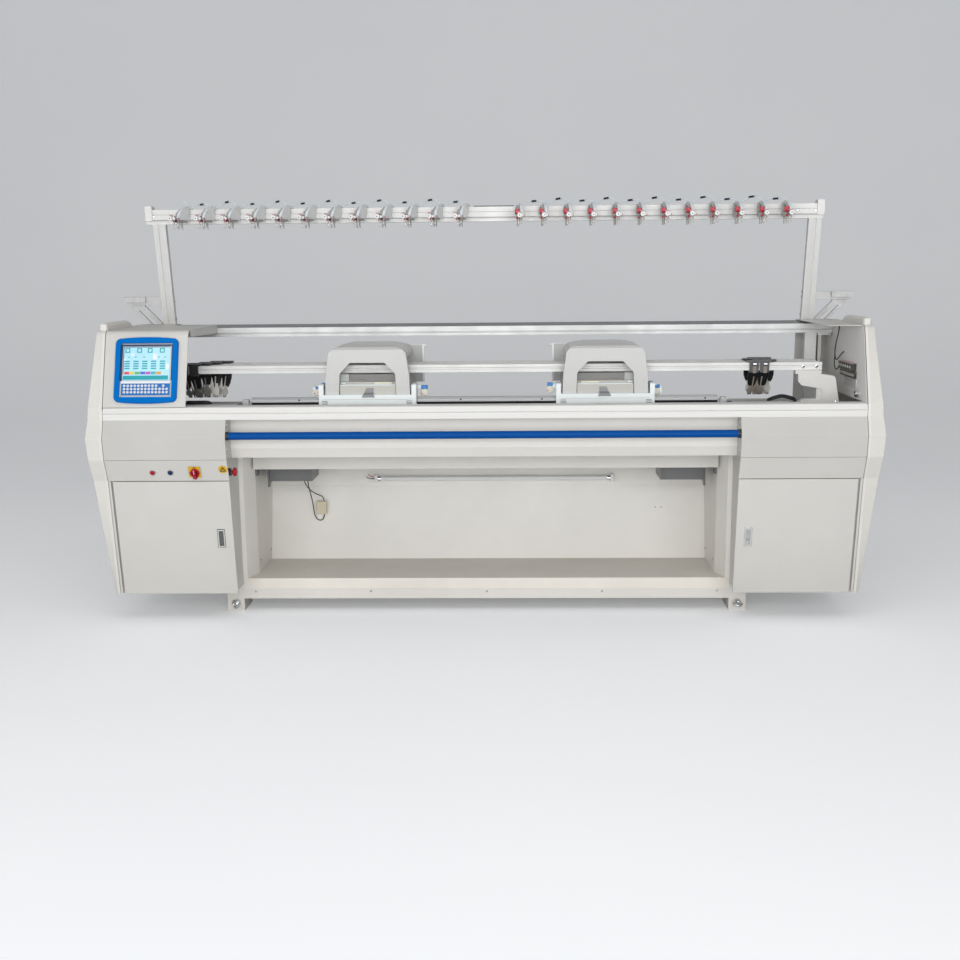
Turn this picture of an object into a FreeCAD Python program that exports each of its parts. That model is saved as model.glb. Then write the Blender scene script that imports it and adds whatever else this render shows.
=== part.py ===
import FreeCAD, Part
import math
import os
import Sketcher

# Flat knitting machine with two carriages, seen from the operator's side: +X is the
# machine's length, -Y the operator, +Z up.  Origin: floor, middle of the length and depth.

doc = FreeCAD.newDocument("FlatKnittingMachine")

# ------------------------------------------------------------------ driving dimensions
SIZES = [
    ("sheet", 3, "casing sheet, drawn thickness"),
    ("gap", 0.3, "running gap between bodies"),
    ("front_y", 470, "crease of the aprons, in front of the centre plane"),
    ("rear_y", 470, "rear faces, behind the centre plane"),
    ("crease_x", 1780, "half length at the crease"),
    ("crease_z", 875, "height of the crease"),
    ("seam_x", 1701, "seam between casings and end panels"),
    ("seam_gap", 2, "gap along the seam"),
    ("joint_y", 460, "lower edge of the aprons, forward"),
    ("joint_z", 778, "lower edge of the aprons, height"),
    ("door_top_y", 415, "top edge of the doors, forward"),
    ("door_top_z", 678, "top edge of the doors, height"),
    ("cab_low_y", 340, "bottom edge of the doors, forward"),
    ("cab_low_z", 135, "underside of the cabinets"),
    ("cab_top_z", 951, "top of the cabinet walls"),
    ("door_deep", 18, "depth of the door pan"),
    ("door_in_x", 1148, "inner edge of a door"),
    ("door_out_x", 1679, "hinge edge of a door"),
    ("door_gap", 2, "gap round a door"),
    ("door_head", 3.2, "gap over a door, whose top corner rises as it swings"),
    ("hinge_edge", 5, "hinge axis inside the door's outer edge"),
    ("hinge_deep", 10, "hinge axis behind the door's face"),
    ("hinge_pin_r", 2.5, "radius of the hinge pins"),
    ("hinge_boss_r", 5, "radius of the hinge bosses"),
    ("hinge_low", 90, "lower hinge, above the door's bottom"),
    ("hinge_high", 440, "upper hinge, above the door's bottom"),
    ("hinge_in", 6, "hinge axis, in from the door's edge"),
    ("low_out_x", 1727, "half length at the bottom edge"),
    ("mid_out_x", 1771, "half length at the door top"),
    ("top_out_x", 1744, "half length at the casing top"),
    ("corner_y", 14, "depth of the end panels' front facet"),
    ("apron_in_x", 1146, "inner edge of the aprons"),
    ("ledge_low_y", 434, "ledge lower front edge, forward"),
    ("ledge_seat", 4, "ledge underside, above the cabinet walls"),
    ("ledge_nose", 30, "ledge nose, above its underside"),
    ("ledge_tall", 57, "height of the ledge"),
    ("ledge_back_y", 342, "ledge rear face, forward of the centre"),
    ("ledge_wall", 4, "wall of the ledge extrusion"),
    ("casing_top_y", 300, "top front edge of the upper casings, forward"),
    ("casing_round", 34, "radius of the bend at the casings' top front edge"),
    ("casing_tall", 333, "height of the upper casings over the ledge"),
    ("casing_in_x", 1325, "inner edge of the left upper casing"),
    ("flange_tall", 40, "height of the left casing's downturned edge"),
    ("open_in_x", 1547, "inner edge of the right upper casing's rear wall"),
    ("cap_in_x", 1697, "inner side of the raised end caps"),
    ("cap_back_y", 150, "rear end of the end caps"),
    ("cap_high", 33, "height of the end caps"),
    ("post_x", 1163, "outer edge of the leg panels, inner wall of the cabinets"),
    ("strip_x", 1142, "inner edge of the leg panels' front strip"),
    ("side_x", 1107, "bay side faces"),
    ("base_y", 135, "front plane of base and legs, forward"),
    ("angle_y", 20, "end of the angled leg face, forward"),
    ("base_back_y", 440, "rear end of the foot rails"),
    ("foot_wide", 82, "width of a foot"),
    ("foot_long", 190, "length of a foot"),
    ("foot_high", 60, "height of a foot below the rail"),
    ("sill_high", 48, "height of the lower sill beam"),
    ("sill_deep", 50, "depth of the sill beams"),
    ("shelf_z", 160, "top of the shelf"),
    ("frame_x", 1172, "inner face of the end frames"),
    ("frame_wide", 40, "thickness of the end frames"),
    ("frame_y", 150, "front edge of the end frames, forward"),
    ("frame_back_y", 380, "rear edge of the end frames"),
    ("beam_low_z", 776, "underside of the bed beams"),
    ("beam_top_z", 860, "top of the bed beams"),
    ("beam_x", 1660, "half length of the bed beams"),
    ("beam_y", 200, "outer faces of the bed beams"),
    ("beam_slot_y", 20, "inner faces of the bed beams"),
    ("beam_wall", 8, "wall of the bed beams"),
    ("back_low_y", 313, "foot of the back panel"),
    ("back_mid_y", 424, "fold of the back panel"),
    ("back_mid_z", 524, "height of that fold"),
    ("back_top_y", 400, "top of the back panel"),
    ("cross_y", 60, "cross panel, forward"),
    ("cross_z", 677, "lower edge of the cross panel"),
    ("panel_y", 345, "centre front panels, forward"),
    ("panel_mid_z", 864, "joint between the two centre panels"),
    ("panel_low_z", 773, "lower edge of the centre panels"),
    ("panel_crease_z", 817, "crease of the lower centre panel"),
    ("panel_bulge", 14, "how far that crease stands out"),
    ("bar_y", 445, "start bar axis, forward"),
    ("bar_z", 884, "start bar axis, height"),
    ("bar_r", 17, "start bar radius"),
    ("bush_fit", 0.05, "radial clearance of running fits"),
    ("bush_long", 14, "start bar bush length"),
    ("bed_x", 1092, "half length of the needle beds"),
    ("bed_gap", 6, "half gap between the beds"),
    ("bed_top_z", 1003, "crest of the beds"),
    ("bed_out_y", 158, "outer edge of the beds"),
    ("bed_out_z", 872, "height of that edge"),
    ("needle_n", 78, "needle teeth drawn on each bed"),
    ("rail_in_y", 160, "guide rail inner face"),
    ("rail_out_y", 190, "guide rail outer face"),
    ("rail_head_z", 1008, "underside of the rail head"),
    ("rail_top_z", 1030, "top of the rail head"),
    ("rail_head_x", 1075, "half length of the rail head"),
    ("web_y", 176, "outer face of the rail web"),
    ("web_end_x", 1116, "half length of the tall rail web"),
    ("low_rail_z", 985, "top of the low rail web"),
    ("low_rail_x", 1400, "half length of the low rail web"),
    ("rear_drop", 38, "the rear guide rail sits this much lower"),
    ("yarn_top_z", 1172, "top of the yarn rails"),
    ("yarn_high", 36, "height of a yarn rail"),
    ("yarn_wide", 22, "width of a yarn rail"),
    ("yarn_pitch", 70, "pitch of the yarn rails"),
    ("yarn_x", 1560, "half length of the yarn rails"),
    ("bracket_in_x", 1435, "inner end of the rail brackets"),
    ("bracket_out_x", 1640, "outer end of the rail brackets"),
    ("bracket_y", 140, "half depth of the rail brackets"),
    ("bracket_plate", 40, "thickness of a rail bracket's front plate"),
    ("table_y", 300, "front face of the yarn table"),
    ("table_low_z", 1286, "underside of the yarn table"),
    ("table_z", 1330, "front top edge of the yarn table"),
    ("table_seat_z", 1340, "table top where the posts stand"),
    ("table_x", 1695, "half length of the yarn table"),
    ("column_x", 1562, "inner face of the table columns"),
    ("column_wide", 56, "width of the table columns"),
    ("stand_x", 1565, "inner face of the stand posts"),
    ("stand_wide", 62, "width of the stand posts"),
    ("stand_deep", 35, "depth of the stand posts"),
    ("stand_lean", 92, "forward lean of the posts"),
    ("beam_tall", 70, "height of the stand beam"),
    ("beam_mid", 52, "lower edge of the beam's front rib, below the top"),
    ("beam_rib", 24, "upper edge of the beam's front rib, below the top"),
    ("stand_top_z", 1899, "top of the stand beam"),
    ("stand_beam_x", 1646, "half length of the stand beam"),
    ("beam_shift", 12, "the beam sits this far to the left"),
    ("rib_step", 6, "step above the beam's rib"),
    ("cap_wide", 32, "width of a beam cap"),
    ("cap_rise", 18, "rise of a beam cap over the beam"),
    ("beam_front_y", 330, "front face of the stand beam"),
    ("beam_deep", 56, "depth of the stand beam"),
    ("beam_step", 8, "step between the beam's two bands"),
    ("arm_x", 1818, "tip of the side arms"),
    ("arm_rise", 97, "underside of the side arms, over the casings"),
    ("arm_high", 39, "height of the side arms"),
    ("arm_block", 115, "length of the blocks on the arms"),
    ("unit_first_x", 1459, "first tension unit, left of the centre"),
    ("unit_left_pitch", 123.6, "pitch of the left units"),
    ("unit_right_x", 168, "first unit right of the centre"),
    ("unit_right_pitch", 116, "pitch of the right units"),
    ("unit_front", 125, "front of a unit, ahead of the beam"),
    ("unit_left_lean", 12, "outward turn of the left units, degrees"),
    ("unit_right_lean", 3.4, "outward turn of the right units, degrees"),
    ("knob_r", 10, "tension knob radius"),
    ("unit_n", 12, "units in each group"),
    ("car_left_x", 532, "left carriage, left of the centre"),
    ("car_right_x", 560, "right carriage, right of the centre"),
    ("tray_x", 225, "half width of a carriage tray"),
    ("tray_y", 216, "front face of a tray, forward"),
    ("tray_end", 22, "width of a tray's upturned end"),
    ("tray_end_z", 1090, "top of the upturned ends"),
    ("arch_z", 1043, "foot of the arch"),
    ("arch_low_x", 196, "half width of the arch at its foot"),
    ("arch_high_x", 172, "half width of the arch at its shoulders"),
    ("arch_side_z", 1232, "shoulder height"),
    ("arch_front_z", 1262, "arch top at the front"),
    ("arch_back_z", 1268, "arch top at the back"),
    ("arch_y", 205, "half depth of the arch"),
    ("tunnel_y", 152, "half depth of the arch's tunnel"),
    ("tunnel_z", 1212, "top of the tunnel"),
    ("window_low_x", 132, "half width of the arch window"),
    ("window_top_x", 80, "half width of the window's top edge"),
    ("window_z", 1188, "top of the arch window"),
    ("cam_x", 214, "half width of a cam box"),
    ("cam_high_z", 1089, "top of the raised cam cover"),
    ("lift", 6, "gap between cam box and bed"),
    ("belt_y", 228, "front face of the belt"),
    ("belt_thick", 4, "belt thickness"),
    ("belt_z", 930, "lower edge of the belt"),
    ("belt_high", 25, "belt width"),
    ("pulley_x", 1470, "pulley axes"),
    ("pulley_r", 38, "pulley radius"),
    ("lamp_left_x", 560, "left end of the lamp"),
    ("lamp_right_x", 628, "right end of the lamp"),
    ("lamp_z", 561, "lamp axis height"),
    ("lamp_y", 392, "lamp axis, behind the centre"),
    ("lamp_r", 13, "lamp tube radius"),
    ("gear_in_x", 850, "inner side of the take-down housings"),
    ("gear_out_x", 1060, "outer side of the take-down housings"),
    ("gear_z", 595, "underside of the take-down housings"),
    ("gear_y", 100, "front face of the take-down housings"),
    ("gear_deep", 220, "depth of the take-down housings"),
    ("roll_y", 210, "take-down roller axis"),
    ("roll_z", 690, "take-down roller axis height"),
    ("roll_r", 34, "take-down roller radius"),
    ("shaft_r", 10, "take-down roller shaft radius"),
    ("button_r", 11, "push button cap radius"),
    ("ring_r", 14.5, "push button ring radius"),
    ("red_x", 1489, "red button, left of the centre"),
    ("blue_x", 1408, "blue button, left of the centre"),
    ("switch_x", 1296, "main switch, left of the centre"),
    ("control_z", 720, "height of the buttons"),
    ("stop_y", 372, "stop button axis, forward"),
    ("stop_z", 712, "stop button axis height"),
    ("stop_r", 20, "stop button head radius"),
    ("bezel_x", 1507, "bezel centre, left of the centre"),
    ("bezel_rise", 159, "bezel centre, over the ledge"),
    ("bezel_wide", 284, "bezel width"),
    ("bezel_tall", 290, "bezel height along the panel"),
    ("bezel_bulge", 9, "rise of the bezel's top and bottom edges"),
    ("bezel_thick", 14, "bezel thickness"),
    ("bezel_corner", 24, "bezel corner radius"),
    ("screen_wide", 236, "recess width"),
    ("screen_tall", 252, "recess height"),
    ("screen_lip", 10, "width of the frame round the screen"),
    ("latch_in", 40, "inner edge of a latch case, from the door's inner edge"),
    ("latch_wide", 32, "width of a latch case"),
    ("latch_low_z", 362, "bottom of a latch case"),
    ("latch_high", 84, "height of a latch case"),
    ("latch_wall", 5, "wall of a latch case"),
    ("latch_pin_r", 2, "radius of a latch's pin"),
    ("plug_first_y", 205, "first plug block, forward"),
    ("plug_pitch", 42, "pitch of the plug blocks"),
    ("plug_long", 34, "length of a plug block"),
    ("plug_rise", 124, "plug blocks, over the ledge"),
    ("plug_tall", 32, "height of a plug block"),
    ("plug_deep", 26, "how far a plug block stands out"),
    ("carrier_left_x", 1376, "first left yarn carrier"),
    ("carrier_step", 36, "step from one left carrier to the next"),
    ("carrier_right_x", 1272, "first right yarn carrier"),
    ("lead_r", 2.2, "radius of the jumper leads"),
    ("jumper_lift", 10, "rise of every other jumper lead"),
    ("stub_x", 9, "the loose jumper end, beside the first unit"),
]

sheet = doc.addObject("Spreadsheet::Sheet", "Dims")
for row, (alias, value, note) in enumerate(SIZES, start=1):
    sheet.set("A%d" % row, note)
    sheet.set("B%d" % row, str(value))
    sheet.setAlias("B%d" % row, alias)
doc.recompute()


class Size(float):
    """A length that keeps the sheet expression it was worked out from."""

    def __new__(cls, value, text):
        self = float.__new__(cls, value)
        self.text = text
        return self

    def __add__(self, other):
        return Size(float(self) + float(other), "(%s + %s)" % (text(self), text(other)))

    def __radd__(self, other):
        return Size(float(other) + float(self), "(%s + %s)" % (text(other), text(self)))

    def __sub__(self, other):
        return Size(float(self) - float(other), "(%s - %s)" % (text(self), text(other)))

    def __rsub__(self, other):
        return Size(float(other) - float(self), "(%s - %s)" % (text(other), text(self)))

    def __mul__(self, other):
        return Size(float(self) * float(other), "(%s * %s)" % (text(self), text(other)))

    def __truediv__(self, other):
        return Size(float(self) / float(other), "(%s / %s)" % (text(self), text(other)))

    def __neg__(self):
        return Size(-float(self), "(0 - %s)" % text(self))

    __rmul__ = __mul__


def text(value):
    return value.text if isinstance(value, Size) else "%.6g" % value


class Dims:
    """The sheet's values under their aliases."""


d = Dims()
for alias, value, note in SIZES:
    setattr(d, alias, Size(float(sheet.get(alias)), "Dims." + alias))
# Heights that follow another one.
d.ledge_low_z = d.cab_top_z + d.ledge_seat
d.ledge_nose_z = d.ledge_low_z + d.ledge_nose
d.ledge_top_z = d.ledge_low_z + d.ledge_tall
d.casing_top_z = d.ledge_top_z + d.casing_tall
d.bezel_z = d.ledge_top_z + d.bezel_rise
d.arm_z = d.casing_top_z + d.arm_rise
d.stand_low_z = d.stand_top_z - d.beam_tall
d.stand_mid_z = d.stand_top_z - d.beam_mid
d.stand_rib_z = d.stand_top_z - d.beam_rib

# ------------------------------------------------------------------ building helpers
PLANES = {"YZ": "YZ_Plane", "XZ": "XZ_Plane", "XY": "XY_Plane"}
AXIS_TURN = {
    "X": FreeCAD.Rotation(FreeCAD.Vector(0, 1, 0), 90),
    "Y": FreeCAD.Rotation(FreeCAD.Vector(1, 0, 0), -90),
    "Z": FreeCAD.Rotation(),
}
nodes = []


def place(obj, x, y, z, turn=None):
    obj.Placement = FreeCAD.Placement(FreeCAD.Vector(float(x), float(y), float(z)),
                                      turn or FreeCAD.Rotation())
    for axis, value in (("x", x), ("y", y), ("z", z)):
        if isinstance(value, Size):
            obj.setExpression("Placement.Base." + axis, value.text)
    return obj


def bind(obj, prop, value):
    setattr(obj, prop, float(value))
    if isinstance(value, Size):
        obj.setExpression(prop, value.text)


def box(name, x0, x1, y0, y1, z0, z1):
    """A block between two corners."""
    obj = doc.addObject("Part::Box", name)
    bind(obj, "Length", x1 - x0)
    bind(obj, "Width", y1 - y0)
    bind(obj, "Height", z1 - z0)
    return place(obj, x0, y0, z0)


def rod(name, axis, x, y, z, radius, length):
    """A cylinder that starts at a point and runs along +axis."""
    obj = doc.addObject("Part::Cylinder", name)
    bind(obj, "Radius", radius)
    bind(obj, "Height", length)
    return place(obj, x, y, z, AXIS_TURN[axis])


def prism(name, plane, points, start, end):
    """A profile in a plane through the origin, padded between two stations of its normal."""
    body = doc.addObject("PartDesign::Body", name)
    origin = next(f for f in body.Origin.OriginFeatures if f.Role == PLANES[plane])
    sketch = body.newObject("Sketcher::SketchObject", name + "_sketch")
    sketch.AttachmentSupport = [(origin, "")]
    sketch.MapMode = "FlatFace"
    corners = [FreeCAD.Vector(float(u), float(v), 0) for u, v in points]
    for i, corner in enumerate(corners):
        sketch.addGeometry(Part.LineSegment(corner, corners[(i + 1) % len(corners)]), False)
    rules = [Sketcher.Constraint("Coincident", i, 2, (i + 1) % len(corners), 1)
             for i in range(len(corners))]
    bound = []
    for i, (u, v) in enumerate(points):
        for kind, value in (("DistanceX", u), ("DistanceY", v)):
            bound.append((len(rules), value))
            rules.append(Sketcher.Constraint(kind, -1, 1, i, 1, float(value)))
    sketch.addConstraint(rules)
    for index, value in bound:
        if isinstance(value, Size):
            sketch.setExpression("Constraints[%d]" % index, value.text)
    # the normal of the XZ plane points to -Y
    low, high = (-end, -start) if plane == "XZ" else (start, end)
    sketch.AttachmentOffset = FreeCAD.Placement(FreeCAD.Vector(0, 0, float(low)),
                                                FreeCAD.Rotation())
    if isinstance(low, Size):
        sketch.setExpression("AttachmentOffset.Base.z", low.text)
    pad = body.newObject("PartDesign::Pad", name + "_pad")
    pad.Profile = sketch
    bind(pad, "Length", high - low)
    body.Tip = pad
    return body


def cut(name, base, *tools):
    for i, tool in enumerate(tools):
        obj = doc.addObject("Part::Cut", name if i == len(tools) - 1 else "%s_cut%d" % (name, i))
        obj.Base, obj.Tool = base, tool
        base = obj
    return base


def fuse(name, *parts):
    obj = doc.addObject("Part::MultiFuse", name)
    obj.Shapes = list(parts)
    obj.Refine = True
    return obj


def group(name, *parts):
    """Separate solids kept together."""
    obj = doc.addObject("Part::Compound", name)
    obj.Links = list(parts)
    return obj


def mirror(source):
    """The same piece on the other side of the machine's middle."""
    obj = doc.addObject("Part::Mirroring", source.Name + "_mirror")
    obj.Source = source
    obj.Normal = FreeCAD.Vector(1, 0, 0)
    return obj


def copies(name, seed, shifts):
    """Copies of a seed piece at a list of shifts."""
    doc.recompute()
    obj = doc.addObject("Part::Feature", name)
    obj.Shape = Part.Compound([seed.Shape.translated(FreeCAD.Vector(*shift)) for shift in shifts])
    return obj


def node(label, obj):
    obj.Label = label
    nodes.append(obj)
    return obj


def both(label, left):
    """One piece and its mirror image as two solids of a node."""
    return node(label, group(label, left, mirror(left)))


# ------------------------------------------------------------------ base and legs
foot_out = d.post_x + d.foot_wide
rail_z = d.foot_high
front_sill = box("front_sill", -d.post_x, d.post_x, -d.base_y, -d.base_y + d.sill_deep,
                 rail_z, rail_z + d.sill_high)
rear_sill = box("rear_sill", -d.post_x, d.post_x, d.base_back_y - d.sill_deep, d.base_back_y,
                rail_z, rail_z + d.sill_high)
base_parts = [front_sill, rear_sill]
for side, sign in (("left", -1), ("right", 1)):
    a, b = (d.post_x, foot_out) if sign > 0 else (-foot_out, -d.post_x)
    base_parts.append(box(side + "_foot_rail", a, b, -d.base_y, d.base_back_y, rail_z, d.cab_low_z))
    base_parts.append(box(side + "_front_foot", a, b, -d.base_y, -d.base_y + d.foot_long, 0, rail_z))
    base_parts.append(box(side + "_rear_foot", a, b, d.base_back_y - d.foot_long, d.base_back_y,
                          0, rail_z))
    f0, f1 = (d.frame_x, d.frame_x + d.frame_wide)
    f0, f1 = (f0, f1) if sign > 0 else (-f1, -f0)
    plate = box(side + "_frame_plate", f0, f1, -d.frame_y, d.frame_back_y, d.cab_low_z, d.beam_low_z)
    window = box(side + "_frame_window", f0, f1, -d.frame_y + 90, d.frame_back_y - 90,
                 d.cab_low_z + 120, d.beam_low_z - 110)
    base_parts.append(cut(side + "_end_frame", plate, window))

bolt_x = d.post_x + d.foot_wide * 0.42
bolt_disc = rod("bolt_disc", "Y", bolt_x, -d.base_y - 4, d.foot_high * 0.6, 17, 4)
bolt_hex = doc.addObject("Part::Prism", "bolt_hex")
bolt_hex.Polygon = 6
bolt_hex.Circumradius = 11
bolt_hex.Height = 9
place(bolt_hex, bolt_x, -d.base_y - 13, d.foot_high * 0.6, AXIS_TURN["Y"])
foot_bolt = fuse("foot_bolt", bolt_disc, bolt_hex)
node("base_frame", group("base_frame", fuse("base_whole", *base_parts), foot_bolt,
                         mirror(foot_bolt)))

leg = prism("leg", "XY", [
    (d.post_x, -d.base_y), (d.strip_x, -d.base_y), (d.side_x, -d.angle_y),
    (d.side_x, d.back_mid_y), (d.side_x + d.sheet, d.back_mid_y),
    (d.side_x + d.sheet, -d.angle_y + 1), (d.strip_x + 2, -d.base_y + d.sheet),
    (d.post_x - d.sheet, -d.base_y + d.sheet), (d.post_x - d.sheet, -d.base_y + 60),
    (d.post_x, -d.base_y + 60)], d.shelf_z, d.beam_low_z)
both("leg_panels", leg)

# The shelf is a tray: a flat top with a deep front lip that stands on the sill.
shelf = prism("shelf", "YZ", [
    (-d.base_y, rail_z + d.sill_high), (-d.base_y, d.shelf_z), (d.back_mid_y, d.shelf_z),
    (d.back_mid_y, d.shelf_z - d.sheet), (d.base_back_y - d.sill_deep + 20, d.shelf_z - d.sheet),
    (d.base_back_y - d.sill_deep + 20, rail_z + d.sill_high),
    (d.base_back_y - d.sill_deep + 17, rail_z + d.sill_high),
    (d.base_back_y - d.sill_deep + 17, d.shelf_z - d.sheet),
    (-d.base_y + d.sheet, d.shelf_z - d.sheet), (-d.base_y + d.sheet, rail_z + d.sill_high)],
    -d.post_x + d.gap, d.post_x - d.gap)
node("shelf", shelf)

# The back panel leans back up to a fold, and above it comes forward to the bed.
back = prism("back_panel", "YZ", [
    (d.back_low_y, d.shelf_z), (d.back_mid_y - d.sheet, d.back_mid_z),
    (d.back_top_y, d.beam_low_z), (d.back_top_y + d.sheet, d.beam_low_z),
    (d.back_mid_y, d.back_mid_z), (d.back_low_y + d.sheet, d.shelf_z)],
    -d.side_x, d.side_x)
node("back_panel", back)

cross = prism("cross_panel", "YZ", [
    (-d.cross_y, d.cross_z), (-d.cross_y, d.beam_low_z), (-d.cross_y + d.sheet, d.beam_low_z),
    (-d.cross_y + d.sheet, d.cross_z + d.sheet), (-d.cross_y + 24, d.cross_z + d.sheet),
    (-d.cross_y + 24, d.cross_z)], -d.side_x, d.side_x)

# ------------------------------------------------------------------ bed beams and beds
beam = box("beam_outer", -d.beam_x, d.beam_x, -d.beam_y, -d.beam_slot_y, d.beam_low_z, d.beam_top_z)
hollow = box("beam_hollow", -d.beam_x - 1, d.beam_x + 1, -d.beam_y + d.beam_wall,
             -d.beam_slot_y - d.beam_wall, d.beam_low_z + d.beam_wall, d.beam_top_z - d.beam_wall)
front_beam = cut("front_beam", beam, hollow)
rear_outer = box("rear_beam_outer", -d.beam_x, d.beam_x, d.beam_slot_y, d.beam_y,
                 d.beam_low_z, d.beam_top_z)
rear_hollow = box("rear_beam_hollow", -d.beam_x - 1, d.beam_x + 1, d.beam_slot_y + d.beam_wall,
                  d.beam_y - d.beam_wall, d.beam_low_z + d.beam_wall, d.beam_top_z - d.beam_wall)
rear_beam = cut("rear_beam", rear_outer, rear_hollow)
node("bed_beams", group("bed_beams", front_beam, rear_beam))

# Each bed is a wedge on its beam; its sloping face carries the needles' teeth.
bed_shapes = []
slope = (d.bed_top_z - d.bed_out_z) / (d.bed_out_y - d.bed_gap)
for side, sign in (("front", -1), ("rear", 1)):
    inner, outer = d.bed_gap * sign, d.bed_out_y * sign
    bed_shapes.append(prism(side + "_bed", "YZ", [
        (inner, d.beam_top_z + 0), (outer, d.beam_top_z + 0), (outer, d.bed_out_z),
        (inner, d.bed_top_z)][::sign], -d.bed_x, d.bed_x))
node("needle_beds", group("needle_beds", *bed_shapes))

# Needle teeth lie on the upper part of each slope, evenly spread over its length.
tooth_pitch = 2 * d.bed_x / d.needle_n
tooth_near, tooth_far = d.bed_gap + 3, d.bed_gap + 58
near_z = d.bed_top_z - (tooth_near - d.bed_gap) * slope
far_z = d.bed_top_z - (tooth_far - d.bed_gap) * slope
tooth = prism("needle_tooth", "YZ", [
    (-tooth_near, near_z), (-tooth_near, near_z + 4), (-tooth_far, far_z + 4), (-tooth_far, far_z)],
    0, tooth_pitch * 0.4)
rear_tooth = prism("rear_tooth", "YZ", [
    (tooth_near, near_z), (tooth_far, far_z), (tooth_far, far_z + 4), (tooth_near, near_z + 4)],
    0, tooth_pitch * 0.4)
tooth_shifts = [(-d.bed_x + tooth_pitch * (i + 0.3), 0, 0) for i in range(int(d.needle_n))]
node("needles", group("needles", copies("front_needles", tooth, tooth_shifts),
                      copies("rear_needles", rear_tooth, tooth_shifts)))

rail_parts = []
for side, sign, drop in (("front", -1, 0), ("rear", 1, d.rear_drop)):
    head_z, crest_z, low_z = d.rail_head_z - drop, d.rail_top_z - drop, d.low_rail_z - drop

    def across(values, sign=sign):
        return [(y * sign, z) for y, z in values][::sign]
    head = prism(side + "_rail_head", "YZ", across([
        (d.rail_in_y, head_z), (d.rail_out_y, head_z),
        (d.rail_out_y, head_z + 12), (d.rail_out_y - 8, crest_z),
        (d.rail_in_y + 4, crest_z), (d.rail_in_y, head_z + 14)]),
        -d.rail_head_x, d.rail_head_x)
    web_y = sorted((d.web_y * sign, (d.rail_in_y + 6) * sign))
    web = box(side + "_rail_web", -d.web_end_x, d.web_end_x, web_y[0], web_y[1],
              d.beam_top_z, head_z)
    foot_y = sorted(((d.rail_in_y + 2) * sign, d.rail_out_y * sign))
    foot = box(side + "_rail_foot", -d.low_rail_x, d.low_rail_x, foot_y[0], foot_y[1],
               d.beam_top_z, d.beam_top_z + 14)
    low = box(side + "_low_rail", -d.low_rail_x, d.low_rail_x, web_y[0], web_y[1],
              d.beam_top_z, low_z)
    cap_y = sorted(((d.rail_in_y + 2) * sign, d.rail_out_y * sign))
    ends = []
    for k, (x0, x1) in enumerate(((-d.web_end_x, -d.bed_x + 4), (d.bed_x - 4, d.web_end_x))):
        ends.append(box("%s_rail_end%d" % (side, k), x0, x1, cap_y[0], cap_y[1],
                        low_z + 3, crest_z - 9))
        t0, t1 = (-d.low_rail_x, -d.web_end_x - 26) if k == 0 else (d.web_end_x + 26, d.low_rail_x)
        ends.append(box("%s_end_bar%d" % (side, k), t0, t1, cap_y[0], cap_y[1],
                        low_z, low_z + 16))
    rail_parts.append(fuse(side + "_guide_rail", head, web, foot, low, *ends))
node("guide_rails", group("guide_rails", *rail_parts))

# The brush strip hangs under the cover head, in front of the web.
brush = box("brush_strip", -d.rail_head_x, d.rail_head_x, -d.rail_out_y + 3, -d.web_y,
            d.low_rail_z - 4, d.rail_head_z)
node("brush_strip", brush)

# ------------------------------------------------------------------ cabinets and casings
# A cabinet is open at its outer end, where the end panel closes it, and at the top.
door_back = d.door_deep + d.door_gap
cab_front = [(-d.cab_low_y + door_back, d.cab_low_z), (-d.door_top_y + door_back, d.door_top_z),
             (-d.door_top_y, d.door_top_z), (-d.joint_y, d.joint_z), (-d.joint_y + 40, d.joint_z),
             (-d.joint_y + 40, d.cab_top_z)]
cab_outer = prism("cabinet_outer", "YZ", cab_front + [
    (d.rear_y, d.cab_top_z), (d.rear_y, d.cab_low_z)], d.post_x, d.seam_x - d.seam_gap)
t = d.sheet
cab_inner = prism("cabinet_inner", "YZ", [
    (-d.cab_low_y + door_back + t, d.cab_low_z + t), (-d.door_top_y + door_back + t, d.door_top_z + t),
    (-d.door_top_y + t + 1.5, d.door_top_z + t), (-d.joint_y + t + 1.5, d.joint_z - t),
    (-d.joint_y + 40 + t, d.joint_z - t), (-d.joint_y + 40 + t, d.cab_top_z + 1),
    (d.rear_y - t, d.cab_top_z + 1), (d.rear_y - t, d.cab_low_z + t)],
    d.post_x + t, d.seam_x + 1)
wall_cut = box("cabinet_wall_cut", d.post_x - 1, d.post_x + t + 1, -d.panel_y, d.rear_y - t,
               d.beam_low_z - 0.5, d.cab_top_z + 1)
floor_cut = box("cabinet_floor_cut", d.frame_x - 1, d.frame_x + d.frame_wide + 1, -d.frame_y - 1,
                d.frame_back_y + 1, d.cab_low_z - 1, d.cab_low_z + t + 1)
frame_reveal = 24
# Concealed hinges: an ear and a pin on the cabinet, a boss inside the door's pan.
lean = (d.door_top_y - d.cab_low_y) / (d.door_top_z - d.cab_low_z)
HINGE = FreeCAD.Placement(
    FreeCAD.Vector(float(d.door_out_x) - float(d.hinge_edge), -float(d.cab_low_y), float(d.cab_low_z)),
    FreeCAD.Rotation(FreeCAD.Vector(1, 0, 0), math.degrees(math.atan(float(lean)))))


def turned(name, shape, placement):
    obj = doc.addObject("Part::Feature", name)
    obj.Shape = shape
    obj.Placement = placement
    return obj


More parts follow.
